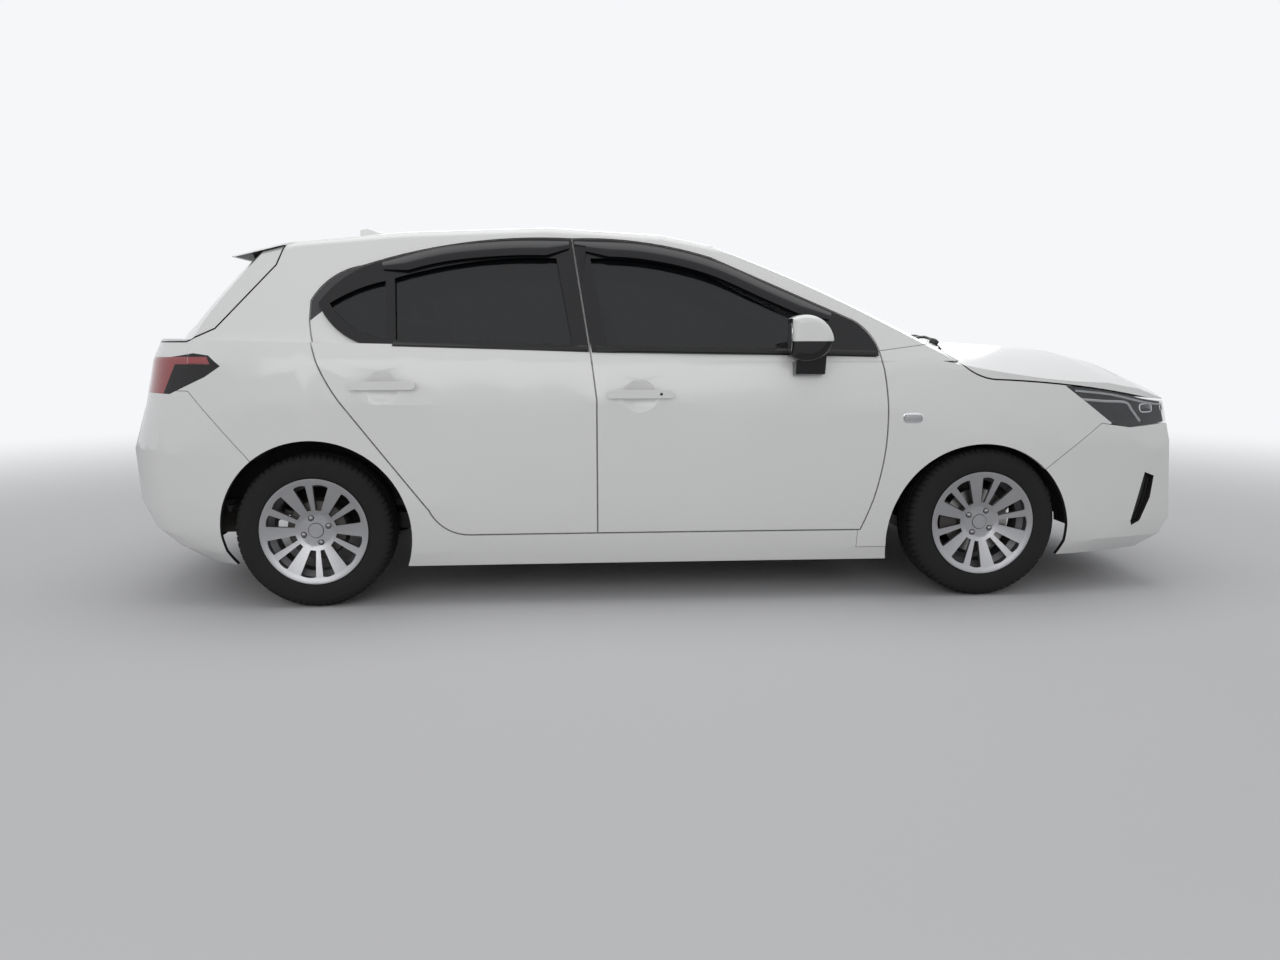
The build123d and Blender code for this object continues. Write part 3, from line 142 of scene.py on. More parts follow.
join(floor_tree, (floor_place, "Object", floor_reach, 0), (floor_reach, "Value", floor_fade, "Value"),
     (floor_fade, "Result", floor_share, 0), (floor_rays, "Is Camera Ray", floor_share, 1),
     (floor_share, 0, floor_mix, "Fac"), (floor_paint, 0, floor_mix, 1), (floor_far, 0, floor_mix, 2),
     (floor_mix, 0, floor_tree.nodes["Material Output"], "Surface"))
floor_mesh.materials.append(floor_finish)


# Painted shell
# Pressed steel panels and painted plastic bumpers in solid gloss white under clear lacquer,
# hung and bolted with even shut gaps.
def finish(name, colour, rough, metal=0.0, coat=0.0, grain=0.0, grain_size=0.002, mottle=0.0, mottle_size=0.3,
           coat_rough=0.04, shine=0.5):
    """A finish with a fine grain in its surface and a slow change of tone and sheen over it."""
    made = bpy.data.materials.new(name)
    made.use_nodes = True
    tree = made.node_tree
    shader = tree.nodes["Principled BSDF"]
    for socket, value in (("Base Color", (*colour, 1)), ("Roughness", rough), ("Metallic", metal),
                          ("Coat Weight", coat), ("Coat Roughness", coat_rough),
                          ("Specular IOR Level", shine)):
        shader.inputs[socket].default_value = value
    place = add_node(tree, "ShaderNodeTexCoord")
    if mottle:
        slow = add_node(tree, "ShaderNodeTexNoise", {"Scale": 1 / mottle_size, "Detail": 6})
        tone = add_node(tree, "ShaderNodeMapRange", {"To Min": 1 - mottle, "To Max": 1 + mottle})
        shade = add_node(tree, "ShaderNodeMix", {"Factor": 1, "A": (*colour, 1)}, data_type="RGBA",
                         blend_type="MULTIPLY")
        sheen = add_node(tree, "ShaderNodeMapRange",
                         {"To Min": rough * (1 - mottle), "To Max": rough * (1 + mottle)})
        join(tree, (place, "Object", slow, "Vector"), (slow, "Fac", tone, "Value"),
             (tone, "Result", shade, "B"), (shade, "Result", shader, "Base Color"),
             (slow, "Fac", sheen, "Value"), (sheen, "Result", shader, "Roughness"))
    if grain:
        fine = add_node(tree, "ShaderNodeTexNoise", {"Scale": 1 / grain_size, "Detail": 3})
        bump = add_node(tree, "ShaderNodeBump", {"Strength": grain, "Distance": grain_size / 4})
        join(tree, (place, "Object", fine, "Vector"), (fine, "Fac", bump, "Height"),
             (bump, "Normal", shader, "Normal"))
    return made


def plain_mesh(piece):
    """The piece's mesh with its modifiers worked into it."""
    worked = piece.evaluated_get(bpy.context.evaluated_depsgraph_get())
    piece.data = bpy.data.meshes.new_from_object(worked)
    piece.modifiers.clear()


def smoothed(mesh, form, crease):
    """Put a finished form into a mesh, smooth but for its sharp edges."""
    form.to_mesh(mesh)
    form.free()
    if "custom_normal" in mesh.attributes:
        mesh.attributes.remove(mesh.attributes["custom_normal"])
    mesh.shade_smooth()
    mesh.set_sharp_from_angle(angle=crease)


def ride_all(body, slot, *pieces):
    """Let these pieces move with a body. The material slot is not used."""
    for piece in pieces:
        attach(piece, body)


panel_crease, join_gap, sliver = radians(24), 0.00002, 0.00006


def dress(node, material, slot, cuts=(), second=None, where=None):
    """A copy of a CAD node, its triangles joined and its curves smooth, with a second finish where asked."""
    piece = frame["nodes"][node].copy()
    piece.data = piece.data.copy()
    piece.name = piece.data.name = "finished_" + node
    bpy.context.collection.objects.link(piece)
    form = bmesh.new()
    form.from_mesh(piece.data)
    bmesh.ops.remove_doubles(form, verts=form.verts, dist=join_gap)
    bmesh.ops.dissolve_degenerate(form, edges=form.edges, dist=sliver)
    for point, way in cuts:
        everything = form.verts[:] + form.edges[:] + form.faces[:]
        bmesh.ops.bisect_plane(form, geom=everything, plane_co=point, plane_no=way)
    smoothed(piece.data, form, panel_crease)
    piece.data.materials.clear()
    piece.data.materials.append(material)
    if second:
        piece.data.materials.append(second)
    for face in piece.data.polygons:
        face.material_index = 1 if second and where(face.center, face.normal) else 0
    even = piece.modifiers.new("even shading", "WEIGHTED_NORMAL")
    even.keep_sharp = True
    plain_mesh(piece)
    ride_all(body_of_node[node], slot, piece)
    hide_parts(node)
    return piece


def in_arch(place):
    """Whether a point lies inside a wheel housing, within the lip of the panel round it."""
    arches, lip_y = ((1.230, 0.243, 0.371), (-1.332, 0.285, 0.363)), 0.835
    return abs(place.y) < lip_y and any(hypot(place.x - x, place.z - z) < reach for x, z, reach in arches)


def in_boot(place, way):
    """Whether a face looks into the boot from one of its sides."""
    return -1.95 < place.x < -0.95 and 0.30 < place.z < 0.98 and abs(place.y) < 0.76 and way.y * place.y < 0.1


def inner_face(place, way):
    """Whether a face of a bumper looks back into the car."""
    middle = Vector((copysign(1.3, place.x), 0, 0.5))
    return way.dot(place - middle) < 0.02 or in_arch(place)


white_paint = finish("solid_white_paint", (0.80, 0.80, 0.79), 0.38, coat=0.8, coat_rough=0.14, grain=0.04,
                     grain_size=0.003, mottle=0.012)
underseal = finish("stone_chip_underseal", (0.014, 0.014, 0.014), 0.8, grain=0.6, grain_size=0.004)
lining_black = finish("moulded_lining", (0.030, 0.030, 0.032), 0.6, grain=0.4, grain_size=0.0018, mottle=0.1)
head_cloth = finish("roof_lining_cloth", (0.36, 0.35, 0.33), 0.95, grain=0.7, grain_size=0.002, mottle=0.06,
                    mottle_size=0.05)
for panel in ("body_side_right", "body_side_left", "front_fenders"):
    dress(panel, white_paint, "white_paint", second=underseal,
          where=lambda place, way: in_arch(place) or in_boot(place, way))
for panel in ("front_bumper", "rear_bumper"):
    dress(panel, white_paint, "white_paint", second=underseal, where=inner_face)
door_inner_y = 0.7555
doors = ("front_right_door", "front_left_door", "rear_right_door", "rear_left_door")
for panel in doors:
    dress(panel, white_paint, "white_paint", second=lining_black,
          where=lambda place, way: abs(place.y) < door_inner_y)
dress("roof", white_paint, "white_paint", second=head_cloth, where=lambda place, way: way.z < -0.3)
dress("hood", white_paint, "white_paint")
dress("tailgate", white_paint, "white_paint", second=lining_black,
      where=lambda place, way: way.x > 0.35 and place.x > -2.08)

# Black trim
# Gloss black pillar covers and belt mouldings clipped over the door frames, a grained plastic cowl and
# grilles, and blow moulded arch liners and tank.
gloss_black = finish("gloss_black_moulding", (0.008, 0.008, 0.009), 0.22, coat=0.15, shine=0.3, grain=0.03,
                     grain_size=0.002)
grained_black = finish("grained_black_plastic", (0.018, 0.018, 0.019), 0.55, grain=0.35, grain_size=0.0012,
                       mottle=0.1)
for door in doors:
    dress(door + "_trim", gloss_black, "black_plastic")
for moulding in ("cowl", "grilles", "front_arch_liners", "fuel_tank"):
    dress(moulding, grained_black, "black_plastic")
dress("tailgate_spoiler", white_paint, "white_paint", second=gloss_black,
      where=lambda place, way: way.z < -0.2 or (abs(way.y) > 0.7 and place.z < 1.40))

# Rain visors
# Smoked acrylic strips, heat bent to the roof line and taped along the top of both side windows.
LOOKS = {"side": (Vector((0, -2, 0)), Vector((0, 1, 0)), lambda a, b: Vector((a, 0, b))),
         "front": (Vector((3, 0, 0)), Vector((-1, 0, 0)), lambda a, b: Vector((0, a, b))),
         "back": (Vector((-3, 0, 0)), Vector((1, 0, 0)), lambda a, b: Vector((0, a, b))),
         "top": (Vector((0, 0, 3)), Vector((0, 0, -1)), lambda a, b: Vector((a, b, 0)))}


def skin_of(look, *nodes):
    """The surfaces of these CAD nodes as seen in one of the looks, to lay thin pieces on."""
    forms = bmesh.new()
    for node in nodes:
        forms.from_mesh(frame["nodes"][node].data)
    tree = BVHTree.FromBMesh(forms)
    forms.free()
    return tree, look


def laid(skin, across, up, stand):
    """The place on a skin at these two coordinates of its look, raised from it along its slope."""
    tree, look = skin
    start, way, flat = LOOKS[look]
    spot = flat(across, up)
    hit, slope, _, _ = tree.ray_cast(spot + start, way)
    if hit is None:
        hit, slope, _, _ = tree.find_nearest(spot + start / 2)
    if slope.dot(way) > 0:
        slope = -slope
    return hit + slope * stand


piece_crease = radians(35)


def placed(name, form, material, crease=piece_crease):
    """An object from a finished form, smooth but for its sharp edges."""
    mesh = bpy.data.meshes.new(name)
    smoothed(mesh, form, crease)
    mesh.materials.append(material)
    piece = bpy.data.objects.new(name, mesh)
    bpy.context.collection.objects.link(piece)
    return piece


def solid_between(name, outer, inner, material, closed=False):
    """A closed solid between two grids of points, one row for each station."""
    form = bmesh.new()
    tops, feet = [[[form.verts.new(point) for point in row] for row in grid] for grid in (outer, inner)]
    rows, columns = len(outer), len(outer[0])
    for near in range(rows if closed else rows - 1):
        far = (near + 1) % rows
        for step in range(columns - 1):
            form.faces.new([tops[near][step], tops[far][step], tops[far][step + 1], tops[near][step + 1]])
            form.faces.new([feet[near][step + 1], feet[far][step + 1], feet[far][step], feet[near][step]])
        for step in (0, columns - 1):
            form.faces.new([tops[near][step], feet[near][step], feet[far][step], tops[far][step]])
    if not closed:
        for near in (0, rows - 1):
            for step in range(columns - 1):
                form.faces.new([tops[near][step], tops[near][step + 1], feet[near][step + 1],
                                feet[near][step]])
    bmesh.ops.remove_doubles(form, verts=form.verts, dist=0.000001)
    bmesh.ops.recalc_face_normals(form, faces=form.faces)
    return placed(name, form, material)


def bend(*points, count=24):
    """Even points along a smooth line through a few given ones."""
    line = []
    before_first = 2 * Vector(points[0]) - Vector(points[1])
    after_last = 2 * Vector(points[-1]) - Vector(points[-2])
    ends = [before_first, *map(Vector, points), after_last]
    for step in range(count + 1):
        along = step * (len(points) - 1) / count
        first = min(int(along), len(points) - 2)
        part = along - first
        before, start, end, after = ends[first:first + 4]
        line.append(0.5 * (2 * start + (end - before) * part
                           + (2 * before - 5 * start + 4 * end - after) * part ** 2
                           + (3 * start - before - 3 * end + after) * part ** 3))
    return line


def level_line(middle, half, height):
    """Even points along a level line."""
    return bend((middle - half, height), (middle, height), (middle + half, height))


def strip(name, skin, path, width, profile, thick, material, taper=0.0):
    """A strip laid on a skin along a path, wide to the path's right, raised by its profile."""
    outer, inner = [], []
    for step, place in enumerate(path):
        way = (path[min(step + 1, len(path) - 1)] - path[max(step - 1, 0)]).normalized()
        aside = Vector((way.y, -way.x))
        along = step / (len(path) - 1)
        narrow = 1 - taper * max(0, 1 - min(along, 1 - along) * 8)
        tops, feet = [], []
        for column, stand in enumerate(profile):
            spot = place + aside * width * narrow * column / (len(profile) - 1)
            tops.append(laid(skin, spot.x, spot.y, stand * narrow))
            feet.append(laid(skin, spot.x, spot.y, stand * narrow - thick))
        outer.append(tops)
        inner.append(feet)
    return solid_between(name, outer, inner, material)


def mirrored(piece, name):
    """The same piece on the car's other side."""
    twin = piece.copy()
    twin.data = piece.data.copy()
    twin.name = twin.data.name = name
    twin.data.transform(Matrix.Diagonal((1, -1, 1, 1)))
    twin.data.flip_normals()
    bpy.context.collection.objects.link(twin)
    return twin


def ride_both(body, slot, *pieces):
    """Let right-hand pieces move with their body, and their mirror images with the left-hand one."""
    for piece in pieces:
        twin = mirrored(piece, piece.name.replace("right", "left"))
        ride_all(body, slot, piece)
        ride_all(body.replace("right", "left"), slot, twin)


visor_acrylic = finish("smoked_acrylic", (0.008, 0.008, 0.010), 0.16, coat=0.1, shine=0.3, mottle=0.05)
visor_width, visor_wall, visor_profile = 0.062, 0.0022, (0.0015, 0.006, 0.011, 0.014, 0.0155, 0.0155, 0.014)
window_skins = {end: skin_of("side", *(f"{end}_right_door{part}" for part in ("", "_trim", "_glass")))
                for end in ("front", "rear")}
roof_lines = {
    "front": bend((-0.346, 1.390), (-0.080, 1.377), (0.175, 1.320), (0.420, 1.212), (0.640, 1.113)),
    "rear": bend((-1.075, 1.306), (-0.850, 1.364), (-0.600, 1.389), (-0.366, 1.390))}
for end, skin in window_skins.items():
    ride_both(end + "_right_door", "black_plastic",
              strip(end + "_right_visor", skin, roof_lines[end], width=visor_width, profile=visor_profile,
                    thick=visor_wall, material=visor_acrylic, taper=0.5))

# Belt mouldings
# Rubber lipped mouldings in satin black, clipped along the foot of each side window to wipe the glass.
belt_rubber = finish("belt_moulding_rubber", (0.010, 0.010, 0.010), 0.45, shine=0.3, grain=0.2,
                     grain_size=0.001, mottle=0.08)
belt_width, belt_thick, belt_profile = 0.024, 0.006, (0.0015, 0.0035, 0.0040, 0.0035, 0.0010)
belt_lines = {"front": bend((-0.268, 0.990), (0.250, 0.981), (0.560, 0.975), (0.800, 0.969)),
              "rear": bend((-1.020, 1.014), (-0.660, 1.003), (-0.300, 0.991))}
for end, skin in window_skins.items():
    ride_both(end + "_right_door", "black_plastic",
              strip(end + "_right_belt_moulding", skin, belt_lines[end], width=belt_width,
                    profile=belt_profile, thick=belt_thick, material=belt_rubber))


# Door mirrors
# A white painted cap over a black moulded shell and foot, with a silvered glass in its rear face.
def shell(rings, caps=()):
    """A form with faces from each ring of places to the next and over the rings that are capped."""
    form = bmesh.new()
    corners = [[form.verts.new(place) for place in ring] for ring in rings]
    for low, high in zip(corners, corners[1:]):
        for step in range(len(low)):
            form.faces.new([low[step - 1], low[step], high[step], high[step - 1]])
    for end in caps:
        form.faces.new(corners[end])
    bmesh.ops.remove_doubles(form, verts=form.verts, dist=0.00001)
    bmesh.ops.recalc_face_normals(form, faces=form.faces)
    return form


mirror_glass = finish("silvered_glass", (0.75, 0.76, 0.78), 0.02, metal=1.0)
cap_foot, cap_root = 1.006, 0.880
pane_x, pane_y, pane_z, pane_thick = 0.4445, 0.930, 1.019, 0.0012
pane_half_width, pane_half_height, pane_squareness = 0.0355, 0.056, 0.6
for side, way in (("right", -1), ("left", 1)):
    dress(f"front_{side}_mirror", white_paint, "white_paint",
          cuts=[((0, 0, cap_foot), (0, 0, 1)), ((0, way * cap_root, 0), (0, 1, 0))], second=gloss_black,
          where=lambda place, turn: place.z < cap_foot or abs(place.y) < cap_root or turn.x < -0.9)
    pane = []
    for angle in range(0, 360, 10):
        parts = cos(radians(angle)), sin(radians(angle))
        across, up = (copysign(abs(part) ** pane_squareness, part) for part in parts)
        pane.append(Vector((pane_x, way * (pane_y + pane_half_width * across),
                            pane_z + pane_half_height * up)))
    form = shell([pane, [corner + Vector((pane_thick, 0, 0)) for corner in pane]], caps=(0, 1))
    ride_all(f"front_{side}_door", "black_plastic", placed(f"front_{side}_mirror_glass", form, mirror_glass))


# Glass
# Laminated windscreen with a fired black border over its bonding, and tempered side and tail panes with a
# dark film, all set nearly flush in their openings.
def glazing(name, tint, alpha):
    """Dark see-through glass."""
    made = finish(name, tint, 0.03, coat=0.1, mottle=0.04, mottle_size=0.5)
    shader = made.node_tree.nodes["Principled BSDF"]
    shader.inputs["Alpha"].default_value = alpha
    shader.inputs["IOR"].default_value = 1.5
    return made


def bordered(pane, glass, daylight):
    """A pane whose rim outside its daylight line, half of it given as y and z, is fired black."""
    cuts, edges = [], list(zip(daylight, daylight[1:]))
    for (y, z), (far_y, far_z) in edges:
        for side in (1, -1):
            cuts.append(((0, side * y, z), (0, side * (far_z - z), y - far_y)))

    def in_border(place, way):
        return any((far_z - z) * (abs(place.y) - y) - (far_y - y) * (place.z - z) < 0
                   for (y, z), (far_y, far_z) in edges)

    dress(pane, glass, "tinted_glass", cuts=cuts, second=fired_border, where=in_border)


dark_glass = glazing("film_tinted_glass", (0.006, 0.007, 0.008), 0.80)
screen_glass = glazing("windscreen_glass", (0.012, 0.014, 0.015), 0.55)
fired_border = finish("fired_black_border", (0.006, 0.006, 0.006), 0.10, coat=0.2, shine=0.4, mottle=0.06)
for door in doors:
    dress(door + "_glass", dark_glass, "tinted_glass")
bordered("windscreen", screen_glass, ((0, 1.366), (0.492, 1.356), (0.588, 1.250), (0.682, 1.045), (0, 1.040)))
bordered("tailgate_glass", dark_glass,
         ((0, 1.335), (0.490, 1.325), (0.600, 1.085), (0.540, 1.075), (0, 1.070)))

# Wipers
# Pressed steel arms in black on their spindles, each holding a rubber blade down on the glass: two under the
# windscreen, parked towards the left, and one across the foot of the tail glass.
wiper_black = finish("wiper_black_paint", (0.012, 0.012, 0.012), 0.45, grain=0.2, mottle=0.1)
blade_profile = (0.002, 0.009, 0.012, 0.009, 0.002)
arm_profile = (0.016, 0.020, 0.021, 0.020, 0.016)
pad_shares, pad_rim_drop = (0.0, 0.35, 0.7, 0.9, 0.97, 1.0), 0.0006


def rounded(angle, power):
    """The edge of a rounded square at this angle: a power of 2 makes it a circle, and more squarer."""
    way = Vector((cos(radians(angle)), sin(radians(angle))))
    return way * (abs(way.x) ** power + abs(way.y) ** power) ** (-1 / power)


def patch(name, skin, middle, half, stand, dome, thick, material, power=4.0):
    """A rounded pad laid on a skin: its half size each way, height at the rim, crown and thickness."""
    outer, inner = [], []
    for angle in range(0, 360, 12):
        edge = rounded(angle, power)
        tops, feet = [], []
        for share in pad_shares:
            across, up = middle[0] + edge.x * half[0] * share, middle[1] + edge.y * half[1] * share
            lift = stand + dome * (1 - share ** 2) - (pad_rim_drop if share == 1 else 0)
            tops.append(laid(skin, across, up, lift))
            feet.append(laid(skin, across, up, stand - thick))
        outer.append(tops)
        inner.append(feet)
    return solid_between(name, outer, inner, material, closed=True)


screen_skin = skin_of("top", "windscreen", "cowl")
for side, blade_path, arm_path in (
        ("right", bend((1.082, -0.470), (1.117, -0.360), (1.142, -0.180), (1.155, 0.020)),
         bend((1.143, -0.500), (1.146, -0.420), (1.140, -0.330), (1.130, -0.240))),
        ("left", bend((1.152, 0.100), (1.141, 0.200), (1.112, 0.380), (1.058, 0.560)),
         bend((1.226, 0.000), (1.200, 0.100), (1.155, 0.240), (1.118, 0.330)))):
    ride_all("body", "black_plastic",
             strip(side + "_wiper_blade", screen_skin, blade_path, width=0.011, profile=blade_profile,
                   thick=0.010, material=wiper_black, taper=0.6),
             strip(side + "_wiper_arm", screen_skin, arm_path, width=0.014, profile=arm_profile, thick=0.006,
                   material=wiper_black, taper=0.3),
             patch(side + "_wiper_spindle", screen_skin, arm_path[0], half=(0.017, 0.017), stand=0.018,
                   dome=0.006, thick=0.022, material=wiper_black, power=2.0))
tail_skin = skin_of("back", "tailgate_glass", "tailgate")
ride_all("tailgate", "black_plastic",
         strip("rear_wiper_blade", tail_skin, bend((0.340, 1.098), (0.200, 1.100), (0.060, 1.096)),
               width=0.011, profile=blade_profile, thick=0.010, material=wiper_black, taper=0.6),
         strip("rear_wiper_arm", tail_skin, bend((0.000, 1.060), (0.070, 1.082), (0.200, 1.094)), width=0.016,
               profile=arm_profile, thick=0.007, material=wiper_black, taper=0.3),
         patch("rear_wiper_spindle", tail_skin, (0.000, 1.060), half=(0.024, 0.020), stand=0.018, dome=0.008,
               thick=0.022, material=wiper_black, power=2.5))

# Headlamps
# Clear moulded lenses over black housings, each with a light guide along its top, a bracket shaped light
# strip and three square projector lenses behind.
LOOKS["corner"] = (Vector((1.5, -1.5, 0)), Vector((-1, 1, 0)).normalized(),
                   lambda a, b: Vector((1.9 + 0.7071 * a, -0.7 + 0.7071 * a, b)))
housing_black = finish("lamp_housing_black", (0.012, 0.012, 0.013), 0.35, coat=0.3, grain=0.1, mottle=0.15,
                       mottle_size=0.02)
light_guide = finish("light_guide_white", (0.62, 0.64, 0.66), 0.12, coat=1.0, grain=0.2, grain_size=0.003)
lamp_chrome = finish("lamp_chrome", (0.70, 0.71, 0.72), 0.06, metal=1.0, mottle=0.05)
projector_glass = finish("projector_glass", (0.05, 0.055, 0.065), 0.02, coat=1.0, mottle=0.2,
                         mottle_size=0.02)
lens_clear = glazing("headlamp_lens", (0.10, 0.11, 0.12), 0.10)
housing_depth, lens_wall = 0.012, 0.0025


def lamp_form():
    """The headlamps' CAD shape, its triangles joined, with the faces that make the outer skin."""
    form = bmesh.new()
    form.from_mesh(frame["nodes"]["headlamps"].data)
    bmesh.ops.remove_doubles(form, verts=form.verts, dist=join_gap)
    form.normal_update()
    middle = Vector((1.3, 0, 0.75))
    skin = [face for face in form.faces
            if face.normal.dot(face.calc_center_median() - middle) > 0 and abs(face.normal.y) > 0.03]
    return form, skin


form, skin = lamp_form()
sunk = {}
for face in skin:
    for corner in face.verts:
        sunk[corner] = sunk.get(corner, Vector()) + face.normal * face.calc_area()
for corner, way in sunk.items():
    corner.co -= way.normalized() * housing_depth
ride_all("body", "black_plastic", placed("headlamp_housings", form, housing_black))
form, skin = lamp_form()
bmesh.ops.delete(form, geom=[face for face in form.faces if face not in set(skin)], context="FACES")
lens = placed("headlamp_lenses", form, lens_clear)
wall = lens.modifiers.new("lens wall", "SOLIDIFY")
wall.thickness = lens_wall
wall.offset = -1
plain_mesh(lens)
ride_all("body", "clear_lens", lens)
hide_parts("headlamps")
guide_profile = (-0.0085, -0.0055, -0.0045, -0.0055, -0.0085)
for name, look, path, width, material in (("light_guide", "side",
                                           bend((1.610, 0.818), (1.780, 0.800), (1.960, 0.764),
                                                (2.080, 0.752)), 0.009, light_guide),
                                          ("bracket_light", "side",
                                           bend((1.640, 0.784), (1.740, 0.776), (1.850, 0.768),
                                                (1.885, 0.735), (1.925, 0.690)), 0.010, light_guide),
                                          ("front_light_bar", "front",
                                           bend((-0.640, 0.716), (-0.550, 0.712), (-0.440, 0.708)), 0.008,
                                           lamp_chrome)):
    ride_both("body", "clear_lens",
              strip("right_" + name, skin_of(look, "headlamps"), path, width=width, profile=guide_profile,
                    thick=0.004, material=material))
corner_skin, projector_height = skin_of("corner", "headlamps"), 0.738
for place, across in enumerate((0.02, 0.13, 0.24)):
    middle = (across, projector_height)
    ride_both("body", "clear_lens",
              patch(f"right_projector_bezel_{place}", corner_skin, middle, half=(0.034, 0.019), stand=-0.010,
                    dome=0.001, thick=0.004, material=lamp_chrome),
              patch(f"right_projector_{place}", corner_skin, middle, half=(0.029, 0.015), stand=-0.0095,
                    dome=0.0055, thick=0.004, material=projector_glass))


# Grille and air intake
# A black plastic mouth between the headlamps and a low intake, each filled with thin moulded slats.
def node_group(name, sizes):
    """An empty geometry tree with its named inputs: each one's socket type and value."""
    tree = bpy.data.node_groups.new(name, "GeometryNodeTree")
    tree.interface.new_socket("Geometry", in_out="INPUT", socket_type="NodeSocketGeometry")
    for socket, (kind, value) in sizes.items():
        made = tree.interface.new_socket(socket, in_out="INPUT", socket_type="NodeSocket" + kind)
        if value is not None:
            made.default_value = value
    tree.interface.new_socket("Geometry", in_out="OUTPUT", socket_type="NodeSocketGeometry")
    return tree, tree.nodes.new("NodeGroupInput"), tree.nodes.new("NodeGroupOutput")


def repeated(piece, tree, sizes):
    """Run a tree on a piece with these sizes, and leave its result as a plain mesh."""
    made = piece.modifiers.new(tree.name, "NODES")
    made.node_group = tree
    for item in tree.interface.items_tree:
        if item.item_type == "SOCKET" and item.in_out == "INPUT" and item.name in sizes:
            made[item.identifier] = sizes[item.name]
    plain_mesh(piece)
    piece.data.shade_smooth()
    piece.data.set_sharp_from_angle(angle=piece_crease)


row, row_in, row_out = node_group("row of copies", {
    "Count": ("Int", 3), "Step": ("Vector", (0, 0, 0.02)), "Material": ("Material", None)})
row_make = add_node(row, "GeometryNodeGeometryToInstance")
row_copy = add_node(row, "GeometryNodeDuplicateElements", domain="INSTANCE")
row_place = add_node(row, "ShaderNodeVectorMath", operation="SCALE")
row_move = add_node(row, "GeometryNodeTranslateInstances", {"Local Space": False})
row_real = add_node(row, "GeometryNodeRealizeInstances")
row_paint = add_node(row, "GeometryNodeSetMaterial")
join(row, (row_in, "Geometry", row_make, 0), (row_make, 0, row_copy, "Geometry"),
     (row_in, "Count", row_copy, "Amount"), (row_copy, "Geometry", row_move, "Instances"),
     (row_in, "Step", row_place, 0), (row_copy, "Duplicate Index", row_place, "Scale"),
     (row_place, 0, row_move, "Translation"), (row_move, 0, row_real, 0),
     (row_real, 0, row_paint, "Geometry"), (row_in, "Material", row_paint, "Material"),
     (row_paint, 0, row_out, "Geometry"))

slat_black = finish("slat_black_plastic", (0.012, 0.012, 0.012), 0.4, grain=0.3, grain_size=0.001, mottle=0.1)
mouth_skin = skin_of("front", "grilles")
for name, half_width, height, count, step in (("intake_slats", 0.500, 0.228, 6, (0.001, 0, 0.025)),
                                              ("grille_slats", 0.420, 0.690, 3, (-0.004, 0, 0.014))):
    slat = strip(name, mouth_skin, level_line(0, half_width, height), width=0.007,
                 profile=(0.002, 0.010, 0.013, 0.010, 0.002), thick=0.008, material=slat_black)
    repeated(slat, row, {"Count": count, "Step": step, "Material": slat_black})
    ride_all("body", "black_plastic", slat)
bar = strip("grille_bar", mouth_skin, level_line(0, 0.425, 0.7405), width=-0.022,
            profile=(0.004, 0.014, 0.016, 0.016, 0.012), thick=0.012, material=gloss_black)
ride_all("body", "black_plastic", bar)
ride_both("body", "black_plastic",
          strip("right_vent_blade", skin_of("side", "grilles"),
                bend((1.913, 0.290), (1.950, 0.372), (1.972, 0.455)), width=0.012,
                profile=(0.002, 0.010, 0.010, 0.002), thick=0.006, material=gloss_black))

# Number plates
# Two blank aluminium plates with rolled edges and pressed rims, screwed on in front and behind.
plate_white = finish("plate_reflective_white", (0.66, 0.66, 0.65), 0.35, grain=0.25, grain_size=0.0015,
                     mottle=0.03)
bolt_zinc = finish("bolt_zinc", (0.5, 0.5, 0.5), 0.35, metal=1.0, mottle=0.1, mottle_size=0.004)
plate_half_width, plate_half_height, plate_squareness = 0.170, 0.055, 14
bolt_reach, plate_thick = 0.105, 0.0034
plate_section = ((0.0, 0.0), (0.0, 0.0028), (-0.003, plate_thick), (-0.007, plate_thick), (-0.009, 0.0024))
for end, body, x, lean, z, way in (("front", "body", 2.1615, 0.0, 0.480, 1),
                                   ("rear", "tailgate", -2.1110, 0.2, 0.846, -1)):
    rings = []
    for grow, lift in plate_section:
        ring = []
        for angle in range(0, 360, 9):
            edge = rounded(angle, plate_squareness)
            up = edge.y * (plate_half_height + grow)
            ring.append((x + way * (lift - lean * up), edge.x * (plate_half_width + grow), z + up))
        rings.append(ring)
    plate = placed(end + "_plate", shell(rings, caps=(0, -1)), plate_white)
    form = bmesh.new()
    for side in (-1, 1):
        seat = Matrix.Translation((x + way * plate_thick, side * bolt_reach, z))
        seat = seat @ Matrix.Rotation(way * pi / 2, 4, "Y")
        bmesh.ops.create_cone(form, cap_ends=True, segments=16, radius1=0.0065, radius2=0.0045, depth=0.003,
                              matrix=seat)
    ride_all(body, "white_paint", plate, placed(end + "_plate_bolts", form, bolt_zinc))

# Tail lamps
# Gloss black bodies wrapping the corners, with a red upper bar, a red upright at the rear edge and a small
# clear reversing lamp low down, all moulded as one lens.
lamp_red = finish("tail_lens_red", (0.30, 0.004, 0.008), 0.10, coat=1.0, grain=0.35, grain_size=0.005,
                  mottle=0.12, mottle_size=0.03)
lamp_clear = finish("reversing_lens", (0.42, 0.43, 0.44), 0.10, coat=1.0, grain=0.35, grain_size=0.004,
                    mottle=0.06)
bar_foot, bar_top, bar_front, bar_lean = 0.926, 0.953, -1.229, 0.5
upright_x, upright_z, upright_lean = -1.840, 0.923, 0.48
clear_foot, clear_top, clear_front = 0.845, 0.872, -1.980


def in_red(place, way):
    """Whether a point lies in the red bar or the red upright of a tail lamp."""
    in_bar = bar_foot < place.z < bar_top and place.x + bar_lean * place.z < bar_front
    return in_bar or (place.z < bar_foot and place.x < upright_x + upright_lean * (place.z - upright_z))


